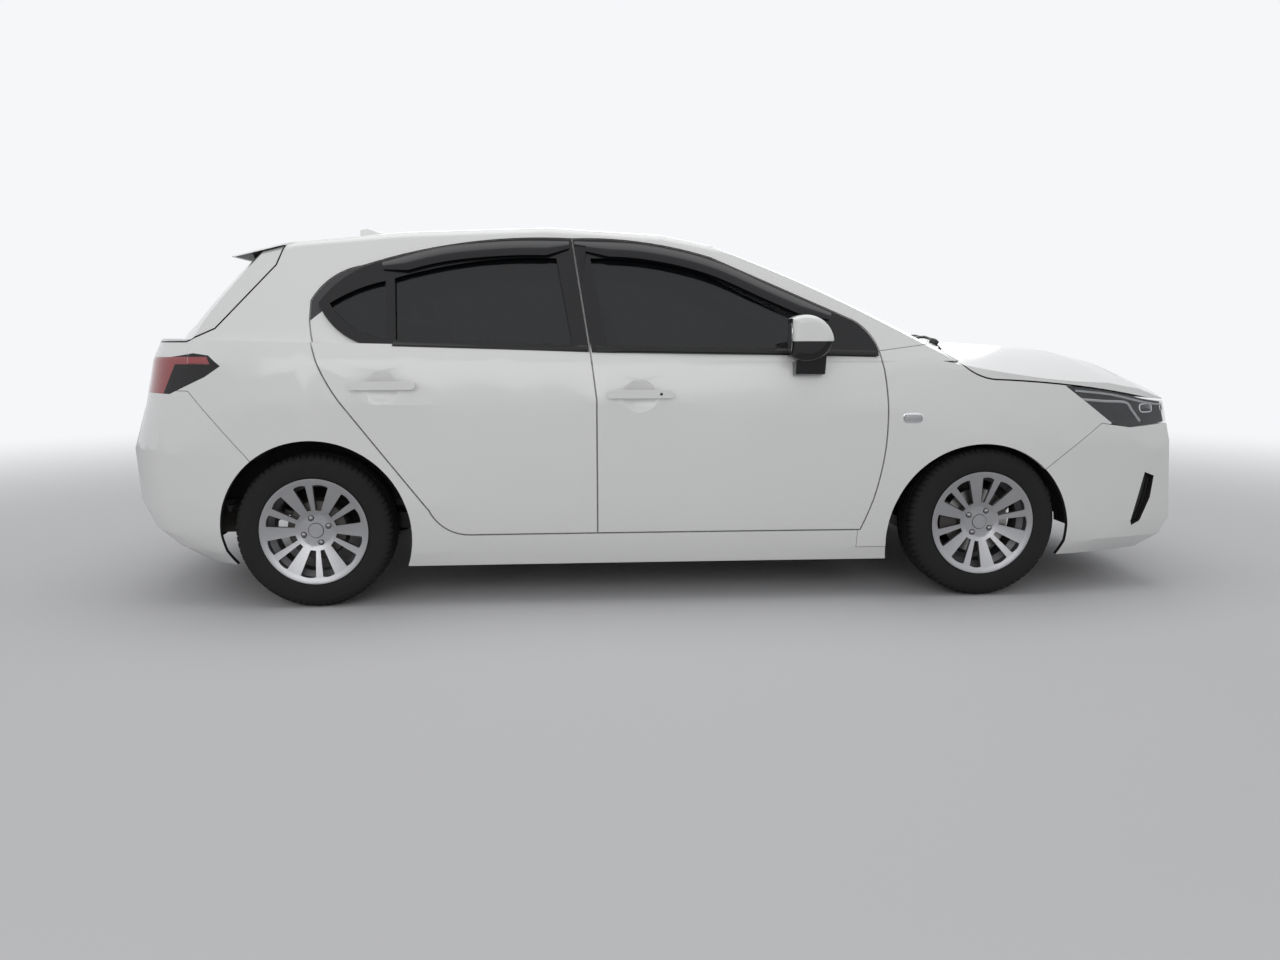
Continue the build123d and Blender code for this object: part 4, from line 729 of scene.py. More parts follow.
lamp = dress("tail_lamps", gloss_black, "red_lens", second=lamp_red, where=in_red,
             cuts=[((0, 0, bar_foot), (0, 0, 1)), ((0, 0, bar_top), (0, 0, 1)),
                   ((bar_front, 0, 0), (1, 0, bar_lean)), ((upright_x, 0, upright_z), (1, 0, -upright_lean)),
                   ((0, 0, clear_foot), (0, 0, 1)), ((0, 0, clear_top), (0, 0, 1)),
                   ((clear_front, 0, 0), (1, 0, 0))])
lamp.data.materials.append(lamp_clear)
for face in lamp.data.polygons:
    if face.material_index == 1 and clear_foot < face.center.z < clear_top and face.center.x < clear_front:
        face.material_index = 2
ride_both("body", "red_lens", patch("right_rear_reflector", skin_of("back", "rear_bumper"), (-0.560, 0.352),
                                    half=(0.070, 0.017), stand=0.0012, dome=0.0015, thick=0.004,
                                    material=lamp_red))
fender_skin, repeater_place = skin_of("side", "front_fenders"), (0.942, 0.7135)
ride_both("body", "clear_lens",
          patch("right_repeater_bezel", fender_skin, repeater_place, half=(0.038, 0.0195), stand=0.0012,
                dome=0.0005, thick=0.004, material=lamp_chrome),
          patch("right_repeater_lens", fender_skin, repeater_place, half=(0.031, 0.0135), stand=0.0015,
                dome=0.0030, thick=0.004, material=lamp_clear))

# Handles, filler flap and tailgate catch
# A black lock barrel in each front pull handle, a painted fuel flap on the left quarter, a black touch pad
# under a painted lamp hood on the tailgate.
ride_both("front_right_door", "black_plastic",
          patch("right_lock_barrel", skin_of("side", "front_right_door"), (-0.028, 0.812),
                half=(0.0055, 0.0055), stand=0.0006, dome=0.0008, thick=0.003, material=gloss_black,
                power=2.0))
quarter_skin, flap_place = skin_of("side", "body_side_right"), (-1.490, 0.800)
for name, half, stand, dome, material in (("flap", 0.074, 0.0004, 0.0010, white_paint),
                                          ("flap_gap", 0.077, 0.0002, 0.0001, underseal)):
    pattern = patch(name, quarter_skin, flap_place, half=(half, half), stand=stand, dome=dome, thick=0.003,
                    material=material, power=5.0)
    ride_all("body", "white_paint", mirrored(pattern, "left_filler_" + name))
    bpy.data.objects.remove(pattern)
tailgate_skin = skin_of("back", "tailgate")
ride_all("tailgate", "black_plastic",
         patch("tailgate_touch_pad", tailgate_skin, (0.000, 0.928), half=(0.070, 0.010), stand=0.0010,
               dome=0.0030, thick=0.006, material=gloss_black))
ride_all("tailgate", "white_paint",
         strip("tailgate_plate_lamp_hood", tailgate_skin, level_line(0, 0.300, 0.948), width=0.014,
               profile=(0.001, 0.009, 0.011, 0.009, 0.001), thick=0.010, material=white_paint, taper=0.5))

# Tyres
# Black rubber road tyres: round walls with a rim guard, four ribs between three grooves, and cross slots that
# let water out over the shoulders. One pitch of the pattern is drawn and repeated round the wheel.
tyre_rubber = finish("tyre_rubber", (0.014, 0.014, 0.014), 0.75, shine=0.25, grain=0.25, grain_size=0.0015,
                     mottle=0.18, mottle_size=0.05)
pitches, slot_depth, rib_slot_depth, slot_sweep = 72, 4.5, 2.0, 100
axle_height = 0.295
wheel_places = {"front_right": (1.248, -0.7485), "front_left": (1.248, 0.7485),
                "rear_right": (-1.341, -0.7415), "rear_left": (-1.341, 0.7415)}
# Each corner of the section, in millimetres: across, from the axle, and 1 on a shoulder or 2 on a rib.
half_section = [(76.0, 190.5, 0), (80.0, 199.0, 0), (84.5, 205.5, 0), (86.5, 208.0, 0), (88.0, 214.0, 0),
                (91.0, 226.0, 0), (92.4, 240.0, 0), (92.3, 252.0, 0), (90.8, 263.0, 0), (90.9, 266.0, 0),
                (88.4, 271.0, 0), (86.2, 277.0, 0), (83.0, 283.0, 1), (78.0, 288.0, 1), (72.0, 291.5, 1),
                (66.0, 293.2, 1), (54.0, 294.0, 1), (42.0, 294.4, 1), (35.0, 294.6, 0), (34.0, 288.6, 0),
                (27.0, 288.6, 0), (26.0, 294.7, 0), (24.0, 294.8, 0), (12.0, 294.9, 2), (4.6, 294.9, 0),
                (3.6, 288.8, 0)]
inner_section = [(66.0, 196.0, 0), (74.0, 238.0, 0), (60.0, 278.0, 0)]
tyre_section = [(-across, reach, -mark) for across, reach, mark in half_section]
tyre_section += [(across, reach, mark) for across, reach, mark in reversed(half_section)]
tyre_section += inner_section + [(-across, reach, 0) for across, reach, _ in reversed(inner_section)]
# Each station along a pitch: its share of the way, and the side whose shoulder is slotted there.
slot_steps = [(0.00, 0), (0.12, 0), (0.15, 1), (0.29, 1), (0.32, 0), (0.50, 0), (0.62, 0), (0.65, -1),
              (0.79, -1), (0.82, 0), (1.00, 0)]

ring, ring_in, ring_out = node_group("ring of copies", {
    "Count": ("Int", 4), "Hub": ("Vector", (0, 0, 0)), "Material": ("Material", None)})
ring_make = add_node(ring, "GeometryNodeGeometryToInstance")
ring_copy = add_node(ring, "GeometryNodeDuplicateElements", domain="INSTANCE")
ring_share = add_node(ring, "ShaderNodeMath", operation="DIVIDE")
ring_angle = add_node(ring, "ShaderNodeMath", {1: 2 * pi}, operation="MULTIPLY")
ring_turn = add_node(ring, "FunctionNodeAxisAngleToRotation", {"Axis": (0, 1, 0)})
ring_move = add_node(ring, "GeometryNodeRotateInstances", {"Local Space": False})
ring_real = add_node(ring, "GeometryNodeRealizeInstances")
ring_weld = add_node(ring, "GeometryNodeMergeByDistance", {"Distance": join_gap})
ring_paint = add_node(ring, "GeometryNodeSetMaterial")
join(ring, (ring_in, "Geometry", ring_make, 0), (ring_make, 0, ring_copy, "Geometry"),
     (ring_in, "Count", ring_copy, "Amount"), (ring_copy, "Duplicate Index", ring_share, 0),
     (ring_in, "Count", ring_share, 1), (ring_share, 0, ring_angle, 0), (ring_angle, 0, ring_turn, "Angle"),
     (ring_copy, "Geometry", ring_move, "Instances"), (ring_turn, 0, ring_move, "Rotation"),
     (ring_in, "Hub", ring_move, "Pivot Point"), (ring_move, 0, ring_real, 0),
     (ring_real, 0, ring_weld, "Geometry"), (ring_weld, 0, ring_paint, "Geometry"),
     (ring_in, "Material", ring_paint, "Material"), (ring_paint, 0, ring_out, "Geometry"))


def tread_pitch(hub_x, hub_y):
    """One pitch of the tyre, from bead to bead, with the slots sunk where they fall in it."""
    rows = []
    for part, slot in slot_steps:
        row_points = []
        for across, reach, mark in tyre_section:
            depth = 0.0
            if slot and mark * slot == 1:
                depth = slot_depth
            elif slot and abs(mark) == 2:
                depth = rib_slot_depth
            turn = 2 * pi / pitches * (part + abs(across) / slot_sweep)
            out = (reach - depth) / 1000
            row_points.append((hub_x + out * cos(turn), hub_y + across / 1000, axle_height - out * sin(turn)))
        rows.append(row_points)
    return shell(rows)


for corner, (hub_x, hub_y) in wheel_places.items():
    tyre = placed(corner + "_road_tyre", tread_pitch(hub_x, hub_y), tyre_rubber)
    repeated(tyre, ring, {"Count": pitches, "Hub": (hub_x, 0, axle_height), "Material": tyre_rubber})
    form = bmesh.new()
    form.from_mesh(tyre.data)
    bmesh.ops.recalc_face_normals(form, faces=form.faces)
    form.to_mesh(tyre.data)
    form.free()
    ride_all(corner + "_wheel", "tyre_rubber", tyre)
    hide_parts(corner + "_tyre")


# Wheels
# Cast alloy rims, bright on their faces over grey painted pockets, with a blank cap and four dome nuts.
# The darker grey on the pockets, spoke sides and barrel is partly the rim's grey paint and partly painted
# shade.
def turned_face(name, hub_x):
    """Bright alloy with the fine rings that the lathe leaves round the hub."""
    made = finish(name, (0.40, 0.40, 0.41), 0.30, metal=1.0, mottle=0.06, mottle_size=0.08)
    tree = made.node_tree
    place = add_node(tree, "ShaderNodeTexCoord")
    centred = add_node(tree, "ShaderNodeMapping", {"Location": (-hub_x, 0, -axle_height)})
    flat = add_node(tree, "ShaderNodeVectorMath", {1: (1, 0, 1)}, operation="MULTIPLY")
    reach = add_node(tree, "ShaderNodeVectorMath", operation="LENGTH")
    pitch = add_node(tree, "ShaderNodeMath", {1: 2 * pi / lathe_pitch}, operation="MULTIPLY")
    wave = add_node(tree, "ShaderNodeMath", operation="SINE")
    bump = add_node(tree, "ShaderNodeBump", {"Strength": 0.25, "Distance": 0.0001})
    join(tree, (place, "Object", centred, "Vector"), (centred, "Vector", flat, 0), (flat, 0, reach, 0),
         (reach, "Value", pitch, 0), (pitch, 0, wave, 0), (wave, 0, bump, "Height"),
         (bump, "Normal", tree.nodes["Principled BSDF"], "Normal"))
    return made


def hex_nut(hub_x, hub_y, angle):
    """A hexagon nut with a domed end on the hub's bolt circle."""
    middle = Vector((hub_x + bolt_circle * cos(angle), hub_y, axle_height + bolt_circle * sin(angle)))
    rings = []
    for reach, out in nut_section:
        ring = []
        for k in range(12):
            edge = reach * (hexagon_flat if reach == nut_section[0][0] and k % 2 else 1)
            ring.append(middle + Vector((edge * cos(pi / 6 * k), copysign(out, hub_y),
                                         edge * sin(pi / 6 * k))))
        rings.append(ring)
    return shell(rings, caps=(0, -1))


lathe_pitch, bolt_circle, hexagon_flat = 0.0009, 0.050, 0.93
nut_section = ((0.0105, 0.0465), (0.0105, 0.0575), (0.0094, 0.0590), (0.0082, 0.0600), (0.0055, 0.0618),
               (0.0022, 0.0626))
face_reach, pad_reach, spoke_start, nut_start = 0.205, 0.075, {"front": 40, "rear": 2}, 18
# Every rim face that doesn't look outward gets this darker grey: partly the rim's grey paint, partly painted
# shade.
pocket_paint_and_shade = finish("grey_paint_and_painted_shade", (0.16, 0.16, 0.165), 0.42, metal=0.6, grain=0.15, grain_size=0.001,
                   mottle=0.08)
bright_faces = {"front": turned_face("front_turned_alloy", wheel_places["front_right"][0]),
                "rear": turned_face("rear_turned_alloy", wheel_places["rear_right"][0])}
nut_steel = finish("nut_steel", (0.25, 0.25, 0.255), 0.28, metal=1.0, grain=0.1, grain_size=0.001, mottle=0.1,
                   mottle_size=0.01)
cast_iron = finish("cast_iron", (0.10, 0.094, 0.088), 0.6, metal=0.7, grain=0.5, grain_size=0.0015,
                   mottle=0.35, mottle_size=0.02)
rubbed_iron = finish("rubbed_iron", (0.34, 0.33, 0.32), 0.3, metal=1.0, grain=0.12, grain_size=0.0008,
                     mottle=0.12, mottle_size=0.01)
for corner, (hub_x, hub_y) in wheel_places.items():
    end = corner.split("_")[0]
    dress(corner + "_rim", pocket_paint_and_shade, "alloy", second=bright_faces[end],
          where=lambda place, way: (way.y * copysign(1, place.y) > 0.80
                                    and hypot(place.x - hub_x, place.z - axle_height) < face_reach))
    nuts = placed(corner + "_nuts", hex_nut(hub_x, hub_y, radians(spoke_start[end] + nut_start)), nut_steel)
    repeated(nuts, ring, {"Count": 4, "Hub": (hub_x, 0, axle_height), "Material": nut_steel})
    ride_all(corner + "_wheel", "cast_metal", nuts)
    if end == "front":
        dress(corner + "_disc", cast_iron, "cast_metal", second=rubbed_iron,
              where=lambda place, way: (abs(way.y) > 0.9
                                        and hypot(place.x - hub_x, place.z - axle_height) > pad_reach))
    else:
        dress(corner + "_drum", cast_iron, "cast_metal")

# Struts and springs
# Cast iron knuckles with the calipers and struts on them, and black coil springs wound between their seats.
for casting in ("right_knuckle", "left_knuckle", "engine_block"):
    dress(casting, cast_iron, "cast_metal")
spring_black = finish("spring_black_paint", (0.016, 0.016, 0.017), 0.4, coat=0.3, grain=0.15, mottle=0.12)

coil, coil_in, coil_out = node_group("coil spring", {
    "Foot": ("Vector", (0, 0, 0)), "Lean": ("Float", 0.0), "Turns": ("Float", 4.5), "Reach": ("Float", 0.055),
    "Rise": ("Float", 0.2), "Wire": ("Float", 0.006), "Material": ("Material", None)})
coil_line = add_node(coil, "GeometryNodeCurveSpiral", {"Resolution": 22})
coil_wire = add_node(coil, "GeometryNodeCurvePrimitiveCircle", {"Resolution": 10})
coil_skin = add_node(coil, "GeometryNodeCurveToMesh", {"Fill Caps": True})
coil_turn = add_node(coil, "ShaderNodeCombineXYZ")
coil_place = add_node(coil, "GeometryNodeTransform")
coil_paint = add_node(coil, "GeometryNodeSetMaterial")
join(coil, (coil_in, "Turns", coil_line, "Rotations"), (coil_in, "Reach", coil_line, "Start Radius"),
     (coil_in, "Reach", coil_line, "End Radius"), (coil_in, "Rise", coil_line, "Height"),
     (coil_in, "Wire", coil_wire, "Radius"), (coil_line, 0, coil_skin, "Curve"),
     (coil_wire, 0, coil_skin, "Profile Curve"), (coil_in, "Lean", coil_turn, "X"),
     (coil_skin, 0, coil_place, "Geometry"), (coil_in, "Foot", coil_place, "Translation"),
     (coil_turn, 0, coil_place, "Rotation"), (coil_place, 0, coil_paint, "Geometry"),
     (coil_in, "Material", coil_paint, "Material"), (coil_paint, 0, coil_out, "Geometry"))
strut_x, strut_y, strut_seat, strut_lean = 1.248, 0.5733, 0.6495, 0.0618
axle_spring_x, axle_spring_y, axle_seat = -1.270, 0.480, 0.268
for end, x, y, seat, lean, turns, reach, rise in (
        ("front", strut_x, strut_y, strut_seat, strut_lean, 4.2, 0.0545, 0.205),
        ("rear", axle_spring_x, axle_spring_y, axle_seat, 0.0, 3.6, 0.052, 0.081)):
    for side, way in (("right", -1), ("left", 1)):
        spring = placed(f"{side}_{end}_spring", bmesh.new(), spring_black)
        repeated(spring, coil, {"Foot": (x, way * y, seat), "Lean": way * lean, "Turns": turns,
                                "Reach": reach, "Rise": rise, "Wire": 0.006, "Material": spring_black})
        ride_all(side + "_steer" if end == "front" else "body", "black_steel", spring)

# Underbody
# Pressed and welded steel in black primer under a sprayed floor, with a bare steel exhaust and rolled tip.
black_steel = finish("black_chassis_paint", (0.020, 0.020, 0.021), 0.5, grain=0.2, mottle=0.15,
                     mottle_size=0.08)
bare_steel = finish("bare_exhaust_steel", (0.30, 0.285, 0.27), 0.42, metal=1.0, grain=0.15, mottle=0.22,
                    mottle_size=0.06)
floor_seal = finish("floor_sealer", (0.060, 0.060, 0.060), 0.75, grain=0.5, grain_size=0.004, mottle=0.2)
carpet = finish("loop_carpet", (0.022, 0.022, 0.023), 0.95, grain=0.9, grain_size=0.003, mottle=0.15,
                mottle_size=0.02)
for chassis_piece in ("front_frame", "front_subframe", "rear_axle", "drive_shafts"):
    dress(chassis_piece, black_steel, "black_steel")
dress("floor_pan", floor_seal, "white_paint", second=carpet,
      where=lambda place, way: way.z > 0.3 or (way.x < -0.3 and place.x > 0.7))
dress("exhaust", bare_steel, "bare_steel")

tip_mouth = Vector((-1.944, -0.330, 0.262))
tip_section = ((0.0245, 0.00), (0.0275, -0.004), (0.0275, -0.050), (0.0290, -0.055), (0.0275, -0.060),
               (0.0240, -0.058), (0.0245, 0.00))
lip = [[tip_mouth + Vector((along, reach * cos(radians(k)), reach * sin(radians(k))))
        for k in range(0, 360, 10)] for reach, along in tip_section]
ride_all("body", "bare_steel", placed("exhaust_tip", shell(lip), lamp_chrome))


# Seats
# Two front buckets and a rear bench: foam under woven charcoal cloth, with raised side bolsters, sewn
# channels across and headrests on chromed posts.
def woven(name, colour, pitch):
    """Cloth with crossing threads and slightly uneven dye."""
    made = finish(name, colour, 0.92, mottle=0.14, mottle_size=0.05)
    tree = made.node_tree
    shader = tree.nodes["Principled BSDF"]
    shader.inputs["Sheen Weight"].default_value = 0.25
    place = add_node(tree, "ShaderNodeTexCoord")
    cross = add_node(tree, "ShaderNodeMath", operation="MULTIPLY")
    bump = add_node(tree, "ShaderNodeBump", {"Strength": 0.5, "Distance": 0.0004})
    turn = 2 * pi / pitch
    for socket, way in enumerate(((turn, 0, turn), (0, turn, 0))):
        thread = add_node(tree, "ShaderNodeVectorMath", {1: way}, operation="DOT_PRODUCT")
        wave = add_node(tree, "ShaderNodeMath", operation="SINE")
        join(tree, (place, "Object", thread, 0), (thread, "Value", wave, 0), (wave, 0, cross, socket))
    join(tree, (cross, 0, bump, "Height"), (bump, "Normal", shader, "Normal"))
    return made


seat_cloth = woven("charcoal_seat_cloth", (0.040, 0.040, 0.044), 0.0026)
seat_plastic = finish("seat_base_plastic", (0.018, 0.018, 0.019), 0.55, grain=0.35, grain_size=0.0012,
                      mottle=0.1)
front_columns, back_columns, edge_power = 32, 16, 8
end_puffs, channel_depth, welt_depth, welt_width = (0.45, 0.78, 0.93), 0.007, 0.008, 0.04
bolster_place, bolster_width = 0.84, 0.26


def cushion(name, stations, middle, half, crown, bolster, welts, channels):
    """A stuffed pad lofted along stations of x, z, the way it faces, half thickness and share of its width.

    Its face has a crown, bolsters at the sides, a welt line at this share of the width each side and sewn
    channels at these steps.
    """
    lines = bend(*stations, count=36)
    rings = []
    for step, (x, z, facing, thick, share) in enumerate(lines):
        out = Vector((cos(radians(facing)), 0, sin(radians(facing))))
        end = min(step, len(lines) - 1 - step)
        puff = end_puffs[end] if end < len(end_puffs) else 1.0
        sewn = channel_depth if step in channels else 0.0
        ring = []
        for column in range(front_columns + 1):
            u = -1 + 2 * column / front_columns
            rise = crown * (1 - u * u) + bolster * max(0, 1 - ((abs(u) - bolster_place) / bolster_width) ** 2)
            rise -= welt_depth * max(0, 1 - ((abs(u) - welts) / welt_width) ** 2)
            rise -= sewn if abs(u) < welts else 0
            edge = puff * (1 - abs(u) ** edge_power) ** 0.5
            ring.append(Vector((x, middle + u * half * share, z)) + out * (thick + rise) * edge)
        for column in range(1, back_columns):
            u = 1 - 2 * column / back_columns
            edge = puff * (1 - abs(u) ** edge_power) ** 0.5
            ring.append(Vector((x, middle + u * half * share, z)) - out * thick * edge)
        rings.append(ring)
    hubs = [[sum(ring, Vector()) / len(ring)] * len(ring) for ring in (rings[0], rings[-1])]
    pad = placed(name, shell([hubs[0], *rings, hubs[1]]), seat_cloth, crease=radians(80))
    smooth = pad.modifiers.new("smooth", "SUBSURF")
    smooth.levels = smooth.render_levels = 1
    plain_mesh(pad)
    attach(pad, "body")
    return pad


def block(name, corners, middle, half, material, soften=0.012):
    """A moulded shell from a side outline, with rounded edges."""
    sides = [[(x, middle + way * half, z) for x, z in corners] for way in (-1, 1)]
    form = shell(sides, caps=(0, 1))
    bmesh.ops.bevel(form, geom=form.edges[:], offset=soften, segments=3, profile=0.5, affect="EDGES")
    return placed(name, form, material)


def posts(name, x, middle, apart, low, high, lean):
    """Two chromed headrest posts."""
    form = bmesh.new()
    for y in (middle - apart, middle + apart):
        rod = Matrix.Translation((x, y, (low + high) / 2)) @ Matrix.Rotation(lean, 4, "Y")
        bmesh.ops.create_cone(form, cap_ends=True, segments=16, radius1=post_reach, radius2=post_reach,
                              depth=high - low, matrix=rod)
    return placed(name, form, lamp_chrome)


post_reach, seat_y, seat_half = 0.006, 0.365, 0.236
bucket_cushion = ((-0.095, 0.478, 95, 0.055, 0.92), (-0.040, 0.474, 92, 0.070, 0.98),
                  (0.120, 0.470, 90, 0.070, 0.99), (0.270, 0.480, 88, 0.068, 0.99),
                  (0.350, 0.462, 55, 0.058, 0.97), (0.372, 0.420, 20, 0.020, 0.94))
bucket_back = ((-0.140, 0.590, 15, 0.070, 0.88), (-0.165, 0.680, 15, 0.072, 0.97),
               (-0.222, 0.900, 15, 0.066, 0.99), (-0.262, 1.060, 15, 0.056, 0.92),
               (-0.276, 1.138, 25, 0.034, 0.80))
front_headrest = ((-0.285, 1.158, 10, 0.030, 0.80), (-0.294, 1.190, 8, 0.040, 0.97),
                  (-0.304, 1.250, 4, 0.042, 0.98), (-0.312, 1.305, 2, 0.030, 0.85))
seat_base = ((-0.165, 0.228), (0.320, 0.228), (0.345, 0.330), (0.350, 0.405), (-0.150, 0.415))
recliner = ((-0.200, 0.400), (-0.080, 0.400), (-0.070, 0.500), (-0.130, 0.600), (-0.225, 0.600))
front_pads = []
for side, way in (("right", -1), ("left", 1)):
    middle = way * seat_y
    front_pads += [cushion(side + "_seat_cushion", bucket_cushion, middle, seat_half, crown=0.010,
                           bolster=0.020, welts=0.60, channels=(9, 18, 26)),
                   cushion(side + "_seat_back", bucket_back, middle, seat_half, crown=0.008, bolster=0.026,
                           welts=0.60, channels=(8, 16, 24)),
                   cushion(side + "_headrest", front_headrest, middle, 0.128, crown=0.008, bolster=0.0,
                           welts=0.86, channels=(18,))]
    ride_all("body", "black_plastic",
             block(side + "_seat_base", seat_base, middle, half=0.215, material=seat_plastic),
             block(side + "_seat_recliner", recliner, middle, half=0.232, material=seat_plastic))
    ride_all("body", "bare_steel",
             posts(side + "_headrest_posts", -0.290, middle, apart=0.06, low=1.100, high=1.185, lean=-0.12))
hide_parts("front_seats")
bench_half, rear_headrest_y = 0.550, 0.330
bench_cushion = ((-0.925, 0.470, 95, 0.050, 0.97), (-0.850, 0.468, 93, 0.060, 0.99),
                 (-0.700, 0.470, 90, 0.062, 0.995), (-0.590, 0.476, 86, 0.060, 0.995),
                 (-0.535, 0.456, 50, 0.046, 0.98), (-0.520, 0.420, 20, 0.016, 0.96))
bench_back = ((-0.945, 0.560, 11, 0.038, 0.96), (-0.963, 0.640, 11, 0.046, 0.99),
              (-1.006, 0.830, 11, 0.044, 0.995), (-1.048, 1.010, 11, 0.042, 0.99),
              (-1.062, 1.085, 20, 0.024, 0.96))
rear_headrest = ((-1.064, 1.112, 8, 0.022, 0.85), (-1.072, 1.140, 6, 0.032, 0.97),
                 (-1.082, 1.185, 3, 0.032, 0.98), (-1.086, 1.228, 2, 0.020, 0.85))
bench_base = ((-0.735, 0.229), (-0.535, 0.229), (-0.545, 0.408), (-0.930, 0.408), (-0.955, 0.384),
              (-0.780, 0.384))
bench = cushion("rear_bench_cushion", bench_cushion, 0, bench_half, crown=0.012, bolster=0.010, welts=0.40,
                channels=(12, 24))
cushion("rear_bench_back", bench_back, 0, bench_half, crown=0.010, bolster=0.010, welts=0.40,
        channels=(9, 18, 27))
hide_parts("rear_seat")
for side, way in (("right", -1), ("left", 1)):
    middle = way * rear_headrest_y
    cushion(side + "_rear_headrest", rear_headrest, middle, 0.108, crown=0.006, bolster=0.0, welts=0.86,
            channels=())
    ride_all("body", "bare_steel",
             posts(side + "_rear_headrest_posts", -1.064, middle, apart=0.05, low=1.060, high=1.130,
                   lean=-0.10))
ride_all("body", "black_plastic", block("rear_bench_base", bench_base, 0, half=0.545, material=seat_plastic))

# Dashboard
# One grained moulding across the cabin, with a dark display, louvred air vents, two dials, a glovebox lid
# and the gear lever in its gaiter.
dash_black = finish("grained_dashboard", (0.026, 0.026, 0.028), 0.6, grain=0.5, grain_size=0.0018, mottle=0.1)
display_black = finish("display_glass", (0.004, 0.004, 0.005), 0.06, coat=1.0, mottle=0.1)
satin_silver = finish("satin_silver_trim", (0.36, 0.36, 0.37), 0.35, metal=0.9, mottle=0.05)
gaiter_black = finish("stitched_gaiter", (0.018, 0.018, 0.019), 0.55, grain=0.4, grain_size=0.002,
                      mottle=0.12, mottle_size=0.01)
dress("dashboard", dash_black, "black_plastic")
dash_skin, dial_height, wheel_y = skin_of("back", "dashboard"), 0.838, -0.360
ride_all("body", "black_plastic",
         patch("display", dash_skin, (0.000, 0.832), half=(0.118, 0.036), stand=0.010, dome=0.0008,
               thick=0.014, material=display_black, power=12),
         patch("glovebox_lid", dash_skin, (0.400, 0.742), half=(0.200, 0.040), stand=0.003, dome=0.003,
               thick=0.006, material=dash_black, power=10),
         patch("instrument_face", dash_skin, (wheel_y, dial_height), half=(0.140, 0.036), stand=0.004,
               dome=0.0008, thick=0.008, material=display_black, power=6))
for name, across in (("dial_left", wheel_y + 0.060), ("dial_right", wheel_y - 0.060)):
    middle = (across, dial_height)
    ride_all("body", "black_plastic",
             patch(name, dash_skin, middle, half=(0.030, 0.030), stand=0.0055, dome=0.0005, thick=0.003,
                   material=satin_silver, power=2),
             patch(name + "_face", dash_skin, middle, half=(0.027, 0.027), stand=0.0062, dome=0.0008,
                   thick=0.003, material=display_black, power=2))
for name, across, up, half in (("side_vent_right", -0.650, 0.830, 0.050),
                               ("side_vent_left", 0.650, 0.830, 0.050),
                               ("middle_vent_right", -0.060, 0.772, 0.046),
                               ("middle_vent_left", 0.060, 0.772, 0.046)):
    bezel = patch(name, dash_skin, (across, up), half=(half + 0.006, 0.026), stand=0.003, dome=0.0005,
                  thick=0.005, material=satin_silver, power=8)
    well = patch(name + "_well", dash_skin, (across, up), half=(half, 0.021), stand=0.0038, dome=0.0004,
                 thick=0.004, material=gloss_black, power=8)
    vanes = strip(name + "_vanes", dash_skin,
                  level_line(across, half - 0.004, up - 0.015), width=-0.005,
                  profile=(0.004, 0.010, 0.004), thick=0.003, material=slat_black)
    repeated(vanes, row, {"Count": 4, "Step": (0, 0, 0.0095), "Material": slat_black})
    ride_all("body", "black_plastic", bezel, well, vanes)
lever_section = ((0.058, 0.550), (0.056, 0.560), (0.040, 0.574), (0.026, 0.600), (0.014, 0.622),
                 (0.008, 0.630), (0.008, 0.672), (0.018, 0.682), (0.024, 0.700), (0.022, 0.722),
                 (0.012, 0.734), (0.0, 0.737))
lever_x = 0.440
lever = shell([[(lever_x + reach * cos(radians(k)), reach * sin(radians(k)), height)
                for k in range(0, 360, 15)] for reach, height in lever_section], caps=(0,))
ride_all("body", "soft_grip", placed("gear_lever", lever, gaiter_black))

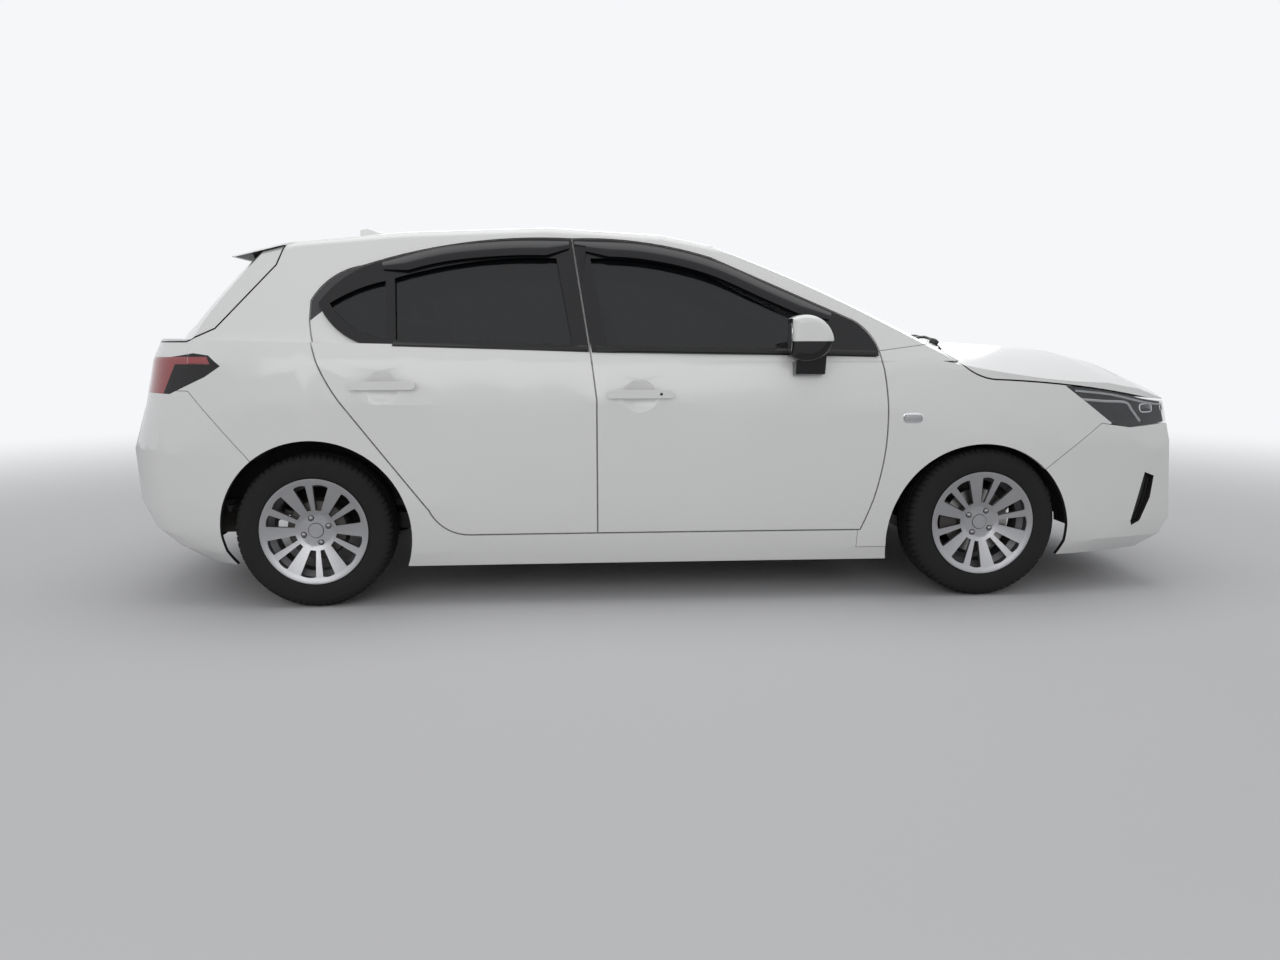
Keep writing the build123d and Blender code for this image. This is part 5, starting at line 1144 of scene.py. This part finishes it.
# Steering wheel
# A rim covered in grained synthetic leather on a moulded hub, with silver spokes and a soft horn pad.
grip = finish("grained_grip", (0.020, 0.020, 0.021), 0.5, grain=0.6, grain_size=0.0015, mottle=0.12,
              mottle_size=0.03)
turn_axis, hub = Vector((0.9, 0, -0.436)).normalized(), Vector((0.545, wheel_y, 0.900))
spoke_root, spoke_tip, horn_half_width, horn_half_height, horn_squareness = 0.075, 0.155, 0.078, 0.060, 3.2
horn_section = ((1.0, 0.006), (1.02, 0.014), (0.98, 0.022), (0.85, 0.030), (0.60, 0.035), (0.30, 0.0375),
                (0.0, 0.038))
dress("steering_wheel", grip, "soft_grip", second=satin_silver,
      where=lambda place, way: way.dot(turn_axis) < -0.9 and spoke_root < (place - hub).length < spoke_tip)
across, up = Vector((0, 1, 0)), turn_axis.cross(Vector((0, 1, 0)))
rings = []
for share, out in horn_section:
    edges = [rounded(angle, horn_squareness) * share for angle in range(0, 360, 10)]
    rings.append([hub + across * edge.x * horn_half_width + up * edge.y * horn_half_height - turn_axis * out
                  for edge in edges])
ride_all("steering_wheel", "soft_grip", placed("horn_pad", shell(rings, caps=(0,)), grip))

# Door linings
# Grained armrests with satin pulls, moulded over the inner face of each door.
LOOKS["inside"] = (Vector((0, -0.30, 0)), Vector((0, -1, 0)), lambda a, b: Vector((a, 0, b)))
for end, along in (("front", 0.180), ("rear", -0.700)):
    lining_skin = skin_of("inside", end + "_right_door")
    ride_both(end + "_right_door", "black_plastic",
              patch(end + "_right_armrest", lining_skin, (along, 0.640), half=(0.230, 0.036), stand=0.034,
                    dome=0.006, thick=0.036, material=dash_black, power=5),
              patch(end + "_right_door_pull", lining_skin, (along + 0.120, 0.775), half=(0.055, 0.016),
                    stand=0.008, dome=0.004, thick=0.010, material=satin_silver, power=4))

# Boot linings
# Dark felt moulded over each side of the boot, from the floor up to a ledge that meets the quarter panel.
boot_felt = finish("boot_felt", (0.030, 0.030, 0.031), 0.95, grain=0.8, grain_size=0.003, mottle=0.12,
                   mottle_size=0.03)
felt_thick, ledge_height, quarter_inside = 0.006, 0.905, skin_of("inside", "body_side_right")
faces, backs = [], []
for x in (-1.960, -1.750, -1.500, -1.250, -1.060):
    rim = laid(quarter_inside, x, ledge_height, 0.001)
    wall = [(-0.545, 0.386), (-0.548, 0.870), (-0.556, 0.890)]
    ledge = [(-0.590, 0.898), (rim.y, ledge_height)]
    faces.append([Vector((x, y, z)) for y, z in wall + ledge])
    backs.append([Vector((x, y - felt_thick, z)) for y, z in wall]
                 + [Vector((x, y, z - felt_thick)) for y, z in ledge])
ride_both("body", "black_plastic", solid_between("right_boot_lining", faces, backs, boot_felt))
